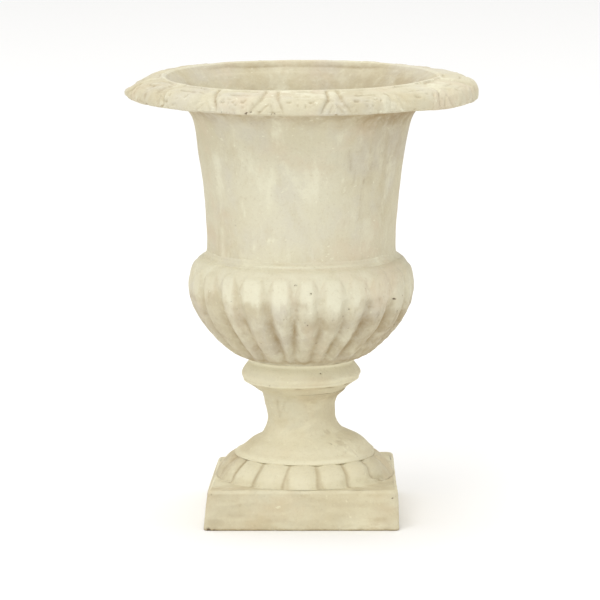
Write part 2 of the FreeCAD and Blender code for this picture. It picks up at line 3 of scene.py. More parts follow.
import bpy
import numpy as np
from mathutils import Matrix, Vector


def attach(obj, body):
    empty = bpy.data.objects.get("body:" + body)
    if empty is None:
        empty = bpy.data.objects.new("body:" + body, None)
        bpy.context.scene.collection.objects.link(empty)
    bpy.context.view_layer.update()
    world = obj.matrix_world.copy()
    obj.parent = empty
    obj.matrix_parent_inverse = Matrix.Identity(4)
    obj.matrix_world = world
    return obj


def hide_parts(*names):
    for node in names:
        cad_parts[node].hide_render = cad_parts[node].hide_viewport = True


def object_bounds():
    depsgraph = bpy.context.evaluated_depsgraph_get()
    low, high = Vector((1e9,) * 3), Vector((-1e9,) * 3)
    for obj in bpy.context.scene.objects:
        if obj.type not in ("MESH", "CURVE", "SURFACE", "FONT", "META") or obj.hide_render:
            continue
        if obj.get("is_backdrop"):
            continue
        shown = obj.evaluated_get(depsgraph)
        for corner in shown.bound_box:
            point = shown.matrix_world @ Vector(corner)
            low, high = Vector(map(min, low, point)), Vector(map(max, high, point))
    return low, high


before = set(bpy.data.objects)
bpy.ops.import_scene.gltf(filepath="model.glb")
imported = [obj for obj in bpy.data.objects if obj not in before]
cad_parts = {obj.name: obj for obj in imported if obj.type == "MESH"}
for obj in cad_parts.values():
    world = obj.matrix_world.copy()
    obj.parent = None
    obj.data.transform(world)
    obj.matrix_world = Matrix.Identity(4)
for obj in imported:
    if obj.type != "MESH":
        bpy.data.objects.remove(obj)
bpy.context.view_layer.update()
scene = bpy.context.scene

# ---------------------------------------------------------------- camera, light and floor
TILT = math.radians(9.4)
LOOK_HEIGHT = 0.1898
DISTANCE = 3.978
OFF_CENTRE = 1.3 / 600  # the urn stands 1.3 pixels right of the middle of a picture 600 wide

camera_data = bpy.data.cameras.new("view")
camera_data.lens = 270
camera_data.sensor_width = 36
camera_data.shift_x = -OFF_CENTRE
camera_data.clip_end = 200
camera = bpy.data.objects.new("view", camera_data)
camera.location = (0, -DISTANCE * math.cos(TILT), LOOK_HEIGHT + DISTANCE * math.sin(TILT))
camera.rotation_euler = (math.pi / 2 - TILT, 0, 0)
scene.collection.objects.link(camera)
scene.camera = camera


def area_light(name, place, aim, size, power, colour):
    """A soft square light that points at a spot."""
    data = bpy.data.lights.new(name, "AREA")
    data.shape = "SQUARE"
    data.size = size
    data.energy = power
    data.color = colour
    lamp = bpy.data.objects.new(name, data)
    lamp.location = place
    direction = np.array(aim, float) - np.array(place, float)
    flat = math.hypot(direction[0], direction[1])
    lamp.rotation_euler = (math.atan2(flat, -direction[2]), 0, math.atan2(-direction[0], direction[1]))
    scene.collection.objects.link(lamp)


area_light("key", (-1.6, -3.2, 4.4), (0, 0, 0.22), 2.6, 75, (1, 0.985, 0.96))
area_light("top", (-0.3, 0.6, 4.6), (0, 0, 0.2), 3.4, 58, (1, 1, 1))

world = bpy.data.worlds.new("studio")
scene.world = world
world.use_nodes = True
world.node_tree.nodes["Background"].inputs["Color"].default_value = (1, 0.995, 0.985, 1)
world.node_tree.nodes["Background"].inputs["Strength"].default_value = 0.86
scene.view_settings.view_transform = "Standard"

# ---------------------------------------------------------------- noise and profile tools
# All shape work is in millimetres; azimuths are in degrees, 0 at the front (-Y), 90 at +X.
# Levels: the stem's seat, the feet of collar and bowl, the joint, the foot of the upper casting and the top
SEAT, COLLAR, BOWL, JOINT, WALL_FOOT, TOP = 53.5, 110, 139, 231, 232, 390
CELLS = 40
lattice = np.random.default_rng(11).uniform(-1, 1, (CELLS, CELLS, CELLS))


def noise(points, grain, shift=0.0):
    """Smooth noise between -1 and 1 with features about as large as the grain."""
    spots = points / grain + shift * 7.31
    cell = np.floor(spots).astype(int)
    part = spots - cell
    part = part * part * (3 - 2 * part)
    total = 0
    for corner in range(8):
        step = np.array([corner & 1, corner >> 1 & 1, corner >> 2 & 1])
        weight = np.prod(np.where(step == 1, part, 1 - part), axis=-1)
        index = (cell + step) % CELLS
        total = total + weight * lattice[index[..., 0], index[..., 1], index[..., 2]]
    return total


def smooth(value, low=0.0, high=1.0):
    """A soft step from 0 at low to 1 at high."""
    share = np.clip((value - low) / (high - low), 0, 1)
    return share * share * (3 - 2 * share)


def hump(distance, width):
    """A bell curve that is 1 at no distance."""
    return np.exp(-((distance / width) ** 2))


def bowed(start, finish, bow, step=0.25):
    """Points from start towards finish on an arc that bulges to the right by that share of the chord."""
    start, finish = np.array(start, float), np.array(finish, float)
    chord = finish - start
    length = math.hypot(*chord)
    count = max(2, int(length / step))
    share = np.arange(count)[:, None] / count
    if bow == 0:
        return start + chord * share
    half = 2 * math.atan(2 * abs(bow))
    radius = length / (2 * math.sin(half))
    angle = (share * 2 - 1) * half
    along = (radius * np.sin(angle) / length + 0.5) * chord
    right = np.array([chord[1], -chord[0]]) / length
    return start + along + right * math.copysign(1, bow) * radius * (np.cos(angle) - math.cos(half))


def curve_through(points, step=0.25):
    """Points on a smooth curve through the given ones."""
    points = np.array(points, float)
    gaps = np.hypot(*np.diff(points, axis=0).T)
    place = np.concatenate([[0], np.cumsum(gaps)])
    slopes = np.gradient(points, place, axis=0)
    fine = np.linspace(0, place[-1], max(2, int(place[-1] / step)) + 1)[:-1]
    index = np.clip(np.searchsorted(place, fine, "right") - 1, 0, len(points) - 2)
    width = gaps[index][:, None]
    t = ((fine - place[index]) / gaps[index])[:, None]
    return ((2 * t**3 - 3 * t**2 + 1) * points[index] + (t**3 - 2 * t**2 + t) * width * slopes[index]
            + (3 * t**2 - 2 * t**3) * points[index + 1] + (t**3 - t**2) * width * slopes[index + 1])


def legs(start, *items):
    """An outline's stretches from start on.

    Each item is (radius, height, rows, columns), with a bow as fifth number where the way there isn't straight,
    or (points, rows, columns) for a smooth curve through the points.
    """
    stretches = []
    for item in items:
        if len(item) == 3:
            points, rows, columns = item
            stretches.append((curve_through([start, *points]), rows, columns))
            start = points[-1]
        else:
            radius, height, rows, columns, bow = (*item, 0)[:5]
            stretches.append((bowed(start, (radius, height), bow), rows, columns))
            start = (radius, height)
    return stretches


class Outline:
    """A closed anticlockwise outline in (radius, height), cut into rows."""

    FINE = 0.2  # spacing at which the outline is smoothed

    def __init__(self, stretches, softness):
        # Each stretch: (points, number of rows, number of columns)
        parts = [stretch[0] for stretch in stretches]
        line = np.concatenate(parts)
        gaps = np.hypot(*(np.roll(line, -1, axis=0) - line).T)
        along = np.concatenate([[0], np.cumsum(gaps)])
        total = along[-1]
        even = np.linspace(0, total, int(total / self.FINE), endpoint=False)
        closed = np.concatenate([line, line[:1]])
        dense = np.stack([np.interp(even, along, closed[:, axis]) for axis in (0, 1)], axis=1)
        reach = int(softness * 3 / self.FINE) + 1
        kernel = np.exp(-0.5 * (np.arange(-reach, reach + 1) * self.FINE / softness) ** 2)
        kernel /= kernel.sum()
        padded = np.concatenate([dense[-reach:], dense, dense[:reach]])
        dense = np.stack([np.convolve(padded[:, axis], kernel, "valid") for axis in (0, 1)], axis=1)
        tangent = np.roll(dense, -1, axis=0) - np.roll(dense, 1, axis=0)
        tangent /= np.hypot(*tangent.T)[:, None]
        marks = np.concatenate([[0], np.cumsum([len(part) for part in parts])])
        places, columns, self.part = [], [], []
        for number, (part, rows, count) in enumerate(stretches):
            low, high = along[marks[number]], along[marks[number + 1]]
            places += list(low + (high - low) * np.arange(rows) / rows)
            columns += [count] * rows
            self.part += [number] * rows
        wrapped = np.concatenate([even, [total]])

        def at_rows(values):
            return [np.interp(places, wrapped, np.append(column, column[0])) for column in values.T]

        self.columns = columns
        self.part = np.array(self.part)
        self.along = np.array(places)
        self.radius, self.height = at_rows(dense)
        self.side, self.rise = at_rows(np.stack([tangent[:, 1], -tangent[:, 0]], axis=1))


class Grid:
    """Everything known about the vertices of a piece, row after row."""

    def __init__(self, counts, azimuth, radius, height, part, side=1.0, rise=0.0):
        self.counts = np.array(counts)
        self.azimuth = (azimuth + 180) % 360 - 180
        self.radius, self.height, self.part = radius, height, part
        total = len(radius)
        # The normal's outward and upward shares, how far the surface moves along it, and the maps of dirt with painted
        # shade, of pale wear with painted highlight, and of rust pits
        self.side, self.rise = np.full(total, side), np.full(total, rise)
        self.offset, self.dirt, self.pale, self.pit = (np.zeros(total) for _ in range(4))

    def points(self):
        """Where the vertices are, moved along their normals by the offset."""
        radius = self.radius + self.side * self.offset
        height = self.height + self.rise * self.offset
        turn = np.radians(self.azimuth)
        return np.stack([radius * np.sin(turn), -radius * np.cos(turn), height], axis=1)

    def rightward(self):
        """1 at the right of the urn, -1 at its left."""
        return np.sin(np.radians(self.azimuth))

    def arc_from(self, centre):
        """Millimetres round the piece from an azimuth."""
        return np.radians(from_azimuth(self.azimuth, centre)) * self.radius

    def near(self, centre, width):
        """A bell curve round an azimuth."""
        return hump(from_azimuth(self.azimuth, centre), width)


def turned_grid(outline):
    """The grid of a turned piece."""
    counts = outline.columns
    row = np.repeat(np.arange(len(counts)), counts)
    azimuth = np.concatenate([np.arange(n) * 360.0 / n for n in counts])
    grid = Grid(counts, azimuth, outline.radius[row], outline.height[row], outline.part[row],
                outline.side[row], outline.rise[row])
    grid.along = outline.along[row]
    return grid


def from_azimuth(azimuth, centre):
    """Azimuth difference in degrees, between -180 and 180."""
    return (azimuth - centre + 180) % 360 - 180


def faces_between(first, first_count, second, second_count):
    """Faces between two rings of vertices; the finer ring has a whole multiple of the other's columns."""
    if first_count == second_count:
        column = np.arange(first_count)
        after = (column + 1) % first_count
        return np.stack([first + column, first + after, second + after, second + column], axis=1).tolist()
    if first_count < second_count:
        return [(a, c, b) for a, b, c in faces_between(second, second_count, first, first_count)]
    faces = []
    ratio = first_count // second_count
    middle = ratio // 2
    for column in range(second_count):
        low, high = second + column, second + (column + 1) % second_count
        ring = [first + (column * ratio + k) % first_count for k in range(ratio + 1)]
        faces += [(low, ring[k], ring[k + 1]) for k in range(middle)]
        faces += [(low, ring[middle], high)]
        faces += [(high, ring[k], ring[k + 1]) for k in range(middle, ratio)]
    return faces


def make_piece(name, grid, points, nodes, material):
    """A closed mesh from the rings of a grid, with its maps of dirt and painted shade, of pale wear and painted
    highlight, and of pits, riding on the urn.
    """
    starts = np.concatenate([[0], np.cumsum(grid.counts)])
    faces = []
    for row, count in enumerate(grid.counts):
        after = (row + 1) % len(grid.counts)
        faces += faces_between(starts[row], count, starts[after], grid.counts[after])
    mesh = bpy.data.meshes.new(name)
    mesh.from_pydata((points / 1000).tolist(), [], faces)
    mesh.polygons.foreach_set("use_smooth", [True] * len(mesh.polygons))
    for label in ("dirt", "pale", "pit"):
        values = np.clip(getattr(grid, label), 0, 1).astype(np.float32)
        mesh.attributes.new(label, "FLOAT", "POINT").data.foreach_set("value", values)
    mesh.materials.append(material)
    mesh.update()
    piece = bpy.data.objects.new(name, mesh)
    scene.collection.objects.link(piece)
    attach(piece, "root")
    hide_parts(*nodes)


def add_pits(grid, points, spots, depth=0.8):
    """Rust pits at (azimuth, height, radius of the pit, darkness)."""
    ragged = noise(points, 1.6, 90)
    for azimuth, height, size, dark in spots:
        reach = points[:, 2] - height
        near = hump(np.hypot(grid.arc_from(azimuth), reach * 1.15) * (1 + 0.45 * ragged), size)
        near[grid.side < 0] = 0
        grid.offset -= depth * near
        grid.pit = np.maximum(grid.pit, near * dark * 1.25)


# ---------------------------------------------------------------- materials
class Nodes:
    """Short ways to wire a material."""

    def __init__(self, name):
        self.material = bpy.data.materials.new(name)
        self.material.use_nodes = True
        self.tree = self.material.node_tree
        self.shader = self.tree.nodes["Principled BSDF"]
        self.where = self.tree.nodes.new("ShaderNodeTexCoord").outputs["Object"]

    def wire(self, socket, value):
        if hasattr(value, "is_linked"):
            self.tree.links.new(value, socket)
        elif isinstance(value, tuple) and len(value) == 3 and len(socket.default_value) == 4:
            socket.default_value = (*value, 1)
        else:
            socket.default_value = value

    def stretch(self, scale, shift=(0, 0, 0)):
        node = self.tree.nodes.new("ShaderNodeMapping")
        self.wire(node.inputs["Vector"], self.where)
        node.inputs["Scale"].default_value = scale
        node.inputs["Location"].default_value = shift
        return node.outputs["Vector"]

    def cloud(self, scale, detail=3.0, rough=0.55, vector=None, warp=0.0):
        node = self.tree.nodes.new("ShaderNodeTexNoise")
        self.wire(node.inputs["Vector"], self.where if vector is None else vector)
        node.inputs["Scale"].default_value = scale
        node.inputs["Detail"].default_value = detail
        node.inputs["Roughness"].default_value = rough
        node.inputs["Distortion"].default_value = warp
        return node.outputs["Fac"]

    def cells(self, scale):
        node = self.tree.nodes.new("ShaderNodeTexVoronoi")
        self.wire(node.inputs["Vector"], self.where)
        node.inputs["Scale"].default_value = scale
        return node

    def spread(self, value, low, high, to_low=0.0, to_high=1.0):
        node = self.tree.nodes.new("ShaderNodeMapRange")
        node.interpolation_type = "SMOOTHSTEP"
        self.wire(node.inputs["Value"], value)
        for label, number in (("From Min", low), ("From Max", high), ("To Min", to_low), ("To Max", to_high)):
            node.inputs[label].default_value = number
        return node.outputs["Result"]

    def maths(self, kind, first, second=0.0):
        node = self.tree.nodes.new("ShaderNodeMath")
        node.operation = kind
        self.wire(node.inputs[0], first)
        self.wire(node.inputs[1], second)
        return node.outputs["Value"]

    def mix(self, share, first, second, kind="MIX"):
        node = self.tree.nodes.new("ShaderNodeMix")
        node.data_type = "RGBA"
        node.blend_type = kind
        self.wire(node.inputs["Factor"], share)
        self.wire(node.inputs[6], first)
        self.wire(node.inputs[7], second)
        return node.outputs[2]

    def map(self, name):
        node = self.tree.nodes.new("ShaderNodeAttribute")
        node.attribute_name = name
        return node.outputs["Fac"]

    def bump(self, height, distance, strength=1.0, below=None):
        node = self.tree.nodes.new("ShaderNodeBump")
        node.inputs["Distance"].default_value = distance
        node.inputs["Strength"].default_value = strength
        self.wire(node.inputs["Height"], height)
        if below is not None:
            self.wire(node.inputs["Normal"], below)
        return node.outputs["Normal"]


def tone(red, green, blue):
    """A colour given on the 0 to 255 scale, made linear."""
    return tuple((c / 255 / 12.92) if c <= 10 else ((c / 255 + 0.055) / 1.055) ** 2.4 for c in (red, green, blue))


# Light and deep ground tones, then the cool, warm and dusky patches on it, and the pale tone of worn paint that also
# serves for painted highlights
WALL_TONES = (216, 211, 187), (210, 203, 176), (207, 202, 186), (213, 198, 172), (199, 189, 158), (229, 226, 202)
FOOT_TONES = (217, 209, 180), (211, 201, 169), (212, 206, 180), (209, 193, 159), (200, 188, 152), (230, 224, 195)


def cream_paint(name, tones, strokes):
    """Aged cream paint on cast iron: mottled, brushed, with dirt and painted shade in the hollows and under things,
    painted highlights in the pale tone, and rust in the pits.
    """
    light, deep, cool, warm, dusky, worn = (tone(*numbers) for numbers in tones)
    n = Nodes(name)
    base = n.mix(n.spread(n.cloud(9, 4, 0.55), 0.38, 0.64), light, deep)
    # Patches, each with its cloud (scale, detail, roughness, stretch, shift, warp), where it starts and is full,
    # how strong it gets, and its tone
    for scale, detail, rough, shape, shift, warp, low, high, most, patch in (
        (21, 4, 0.55, (1, 1, 0.8), (3, 1, 2), 0.25, 0.45, 0.66, 0.7, cool),
        (19, 5, 0.6, (1, 1, 1), (8, 5, 1), 0.2, 0.48, 0.68, 0.6, warm),
        (26, 5, 0.65, strokes, (6, 3, 8), 0.3, 0.52, 0.68, 0.55, dusky),
        (30, 5, 0.62, strokes, (1, 9, 4), 0.3, 0.53, 0.68, 0.75, worn),
        (80, 4, 0.6, strokes, (2, 2, 0), 0.3, 0.54, 0.7, 0.3, dusky),
    ):
        cloud = n.cloud(scale, detail, rough, n.stretch(shape, shift), warp)
        base = n.mix(n.spread(cloud, low, high, 0, most), base, patch)
    # The pale map mixes in the pale tone: worn paint, and painted highlights
    base = n.mix(n.map("pale"), base, worn)
    speck = n.cloud(420, 4, 0.65)
    base = n.mix(n.spread(speck, 0.54, 0.72, 0, 0.22), base, tone(182, 166, 130))
    base = n.mix(n.spread(speck, 0.3, 0.42, 0.35, 0), base, worn)
    # Small bright chips where the paint is worn
    chip = n.cloud(170, 3, 0.6, n.stretch((1, 1, 1.3), (4, 4, 4)))
    base = n.mix(n.spread(chip, 0.66, 0.72, 0, 0.75), base, worn)
    # The dirt map mixes in one dark tone: real dirt, and painted shade under things and in hollows
    ragged = n.cloud(95, 4, 0.65, None, 0.4)
    dirt = n.maths("MULTIPLY", n.map("dirt"), n.spread(ragged, 0.25, 0.65, 0.7, 1.15))
    base = n.mix(n.spread(dirt, 0.0, 1.0, 0, 0.95), base, tone(150, 128, 90))
    # Scattered pits: small dots in a few of the cells
    cell = n.cells(75)
    chosen = n.maths("GREATER_THAN", cell.outputs["Color"], 0.92)
    dot = n.maths("MULTIPLY", n.spread(cell.outputs["Distance"], 0.03, 0.08, 0.5, 0), chosen)
    small = n.cells(210)
    rare = n.maths("GREATER_THAN", small.outputs["Color"], 0.9)
    grain = n.maths("MULTIPLY", n.spread(small.outputs["Distance"], 0.08, 0.2, 1, 0), rare)
    mapped = n.maths("MULTIPLY", n.map("pit"), n.spread(n.cloud(330, 3, 0.6), 0.3, 0.6, 0.45, 1.1))
    pits = n.maths("MAXIMUM", n.maths("MAXIMUM", dot, n.maths("MULTIPLY", grain, 0.45)), mapped)
    base = n.mix(n.spread(pits, 0.25, 0.8, 0, 0.85), base, tone(84, 62, 38))
    n.wire(n.shader.inputs["Base Color"], base)
    n.wire(n.shader.inputs["Roughness"], n.spread(n.cloud(60, 4, 0.6), 0.3, 0.7, 0.66, 0.9))
    n.shader.inputs["Specular IOR Level"].default_value = 0.32
    cast = n.bump(n.cloud(85, 5, 0.65, None, 0.5), 0.0016, 0.6)
    sand = n.bump(n.cloud(330, 4, 0.7), 0.0006, 0.6, cast)
    brushed = n.bump(n.cloud(150, 3, 0.6, n.stretch((1, 1, 0.1))), 0.0003, 0.2, sand)
    n.wire(n.shader.inputs["Normal"], n.bump(n.maths("SUBTRACT", 1.0, pits), 0.0007, 0.8, brushed))
    return n.material


def old_steel(name):
    """Dull hardware: grey-brown steel with rust in patches."""
    n = Nodes(name)
    patch = n.cloud(90, 5, 0.65)
    fine = n.cloud(600, 4, 0.7)
    base = n.mix(n.spread(patch, 0.4, 0.62), tone(120, 112, 104), tone(122, 76, 44))
    base = n.mix(n.spread(fine, 0.5, 0.75, 0, 0.6), base, tone(78, 52, 34))
    n.wire(n.shader.inputs["Base Color"], base)
    n.wire(n.shader.inputs["Metallic"], n.spread(patch, 0.4, 0.62, 0.85, 0.15))
    n.wire(n.shader.inputs["Roughness"], n.spread(fine, 0.3, 0.7, 0.45, 0.85))
    n.wire(n.shader.inputs["Normal"], n.bump(fine, 0.0003, 0.5, n.bump(patch, 0.0006, 0.4)))
    return n.material


paint = cream_paint("aged_cream_paint", WALL_TONES, (1, 1, 0.45))
foot_paint = cream_paint("aged_foot_paint", FOOT_TONES, (0.5, 0.5, 1.3))
putty = cream_paint("painted_putty", WALL_TONES, (1, 1, 1))
steel = old_steel("weathered_steel")
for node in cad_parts.values():
    node.data.materials.clear()
    node.data.materials.append(steel)

# ---------------------------------------------------------------- rim and wall
RIM_DARTS = 16
DART_PITCH = 360 / RIM_DARTS
dart_luck = np.random.default_rng(5).uniform(-1, 1, (RIM_DARTS, 16))
# How strong the left and right groove of each dart are; the ones from -3 to 2 are seen on the front
groove_strength = np.clip(1 + 0.35 * np.random.default_rng(6).uniform(-1, 1, (RIM_DARTS, 2)), 0.5, 1.4)
for number, pair in (
    (-3, (0.8, 1.1)), (-2, (0.35, 1.35)), (-1, (1.1, 1.25)), (0, (1.3, 1.25)), (1, (0.5, 0.3)), (2, (1.2, 0.6)),
):
    groove_strength[number] = pair
# Azimuth of each dart's left and right groove, from its centre, at these distances outwards from the crest
EDGE_AT = (0, 12, 22, 31, 37, 46)
dart_edges = np.empty((RIM_DARTS, 2, 6))
dart_edges[:, 0] = (-2.6, -2.4, -2.6, -3.5, -4.4, -5.2)
dart_edges[:, 1] = (2.6, 2.4, 2.6, 3.5, 4.4, 5.2)
dart_edges *= 1 + 0.12 * np.random.default_rng(7).uniform(-1, 1, (RIM_DARTS, 2, 1))
dart_edges += 0.35 * np.random.default_rng(9).uniform(-1, 1, (RIM_DARTS, 2, 6))
dart_edges[-3] = ((-4.6, -3.4, -1.8, 0.8, 2.4, 3.4), (1.6, 1.8, 2.4, 4.6, 5.6, 6.4))
dart_edges[-2] = ((-4.4, -4.2, -3.2, -2.1, -3.4, -4.6), (-1.4, 0.7, 3.1, 4.6, 5.2, 5.6))
dart_edges[-1] = ((-3.0, -2.6, -2.2, -2.9, -4.4, -6.4), (1.8, 2.6, 3.3, 4.3, 5.1, 5.6))
dart_edges[0] = ((-0.9, -1.7, -2.2, -3.5, -4.4, -5.2), (4.1, 3.0, 2.3, 2.8, 4.0, 5.4))
dart_edges[1] = ((-1.0, -1.3, -2.6, -3.8, -4.4, -5.0), (2.0, 2.2, 2.8, 3.4, 4.2, 5.0))
dart_edges[2] = ((1.8, 1.4, -1.2, -4.5, -5.4, -6.0), (5.4, 4.6, 4.2, 4.4, 4.8, 5.2))
# Worn marks seen on the front of the rim: azimuth, distance outwards from the crest, half lengths, depth
rim_marks = [
    (-0.4, 2.6, 13, 0.9, 1.4), (-1.0, 17.1, 8, 1.0, 1.5), (-4.0, 30.4, 2.6, 1.3, 1.6), (3.2, 30.1, 2.2, 1.3, 1.5),
    (-1.0, 33.9, 0.9, 2.6, 1.5), (1.4, 34.5, 0.9, 2.4, 1.4), (4.6, 27.5, 2.4, 0.9, 0.9), (26.7, 2.4, 4, 1.0, 1.3),
    (20.3, 18.5, 3.4, 1.1, 1.4), (18.2, 30.0, 3.0, 1.8, 1.9), (21.6, 30.8, 3.2, 1.0, 1.2),
    (25.2, 28.4, 2.6, 1.3, 1.3), (21.4, 35.6, 1.4, 1.1, 1.2), (23.4, 35.6, 1.2, 1.1, 1.1),
    (-27.2, 2.4, 5, 1.0, 1.2), (-24.0, 15.4, 5, 1.0, 1.2), (-26.2, 32.3, 2.2, 1.3, 1.7),
    (-22.6, 31.9, 1.8, 1.2, 1.5), (-19.2, 31.4, 2.0, 1.4, 1.8), (-19.0, 36.7, 1.3, 1.1, 1.2),
    (-21.4, 34.5, 1.6, 1.0, 1.2), (-24.2, 28.6, 2.2, 0.9, 1.0), (44.2, 15.6, 2.4, 1.1, 1.2),
    (42.0, 30.4, 2.2, 1.4, 1.3), (46.4, 27.1, 1.8, 1.2, 1.1), (-44.0, 15.6, 2.0, 1.4, 1.4),
    (-41.2, 28.2, 2.6, 1.2, 1.2), (-49.0, 36.7, 2.2, 1.6, 1.6), (-45.4, 39.1, 2.0, 1.2, 1.3),
    (-67.0, 16.1, 2.0, 1.6, 1.4), (-60.0, 24.0, 2.4, 1.4, 1.1), (-71.0, 30.0, 2.0, 1.8, 1.2),
    (68.6, 42.0, 1.6, 2.0, 1.3), (61.0, 22.0, 2.0, 1.2, 1.0), (-47.0, 22.0, 2.8, 1.0, 1.1),
]
# Runs and scrapes in the wall's paint: azimuth and height of both ends, half width, darker or paler
wall_marks = [
    (27, 333, 28.2, 317, 1.8, 0.3), (22.9, 317, 25.5, 297, 0.7, -0.8), (32.2, 306, 30.2, 294, 0.7, -0.8),
    (38.3, 308, 36, 286, 0.9, 0.28), (39.9, 298, 40.3, 290, 0.8, -0.7), (30.2, 318, 31.4, 300, 1.0, 0.22),
    (34, 322, 35, 304, 0.8, -0.3), (19.7, 335, 20.6, 305, 1.1, 0.14), (41, 333, 43.2, 300, 1.1, 0.16),
    (25.9, 287, 26.3, 268, 1.0, 0.14), (36.5, 280, 37.5, 262, 0.9, 0.14), (15, 347, 15.1, 334, 0.6, -0.5),
    (-16.2, 305.6, -15.9, 305, 1.3, -0.9), (-9.2, 301.5, -9, 301, 1.1, -0.8), (13.9, 305.7, 14.2, 305, 1.3, -0.9),
    (-19.8, 254.9, -19.4, 254.3, 1.7, -1), (-16.8, 254.9, -16.4, 254.3, 1.5, -1),
    (-29.1, 252, -29.2, 245.5, 0.8, -0.9), (-42.4, 271, -42.2, 269, 1.5, 0.25), (-32.6, 318, -32.4, 316, 1.3, 0.25),
    (-30, 318, -30, 315, 1.0, -0.7), (-37.8, 290.3, -37.2, 289.6, 1.2, 0.25), (-34, 291, -33.5, 290.4, 1.2, 0.25),
    (-30, 291.3, -28, 290.6, 1.2, 0.25), (-36.8, 287, -35, 276, 1.4, -0.6), (-5, 323.8, -4, 322.8, 1.4, 0.22),
    (-1, 323.2, 0, 322.4, 1.4, 0.2), (3.5, 322.4, 4.5, 321.6, 1.4, 0.2),
]
rim_pits = [
    (-21.7, 353.4, 1.1, 0.8), (49.6, 329.2, 1.2, 0.8), (52, 327, 0.9, 0.6), (33, 290, 0.8, 0.3),
    (-40, 268, 0.8, 0.3), (-26, 373.6, 0.7, 0.9), (-24.2, 373.4, 0.6, 0.7), (-17.8, 373.4, 1.0, 1),
    (-16.2, 375, 0.7, 0.8), (-9.4, 373.4, 0.8, 0.8), (-44, 390, 1.6, 0.4), (-41, 385.6, 1.3, 0.4),
]
# The upper casting's stretches, up the wall, round the rim and into the mouth
WALL, FLARE, UNDERSIDE, LIP, ROLL, BROW, CREST, MOUTH = range(1, 9)


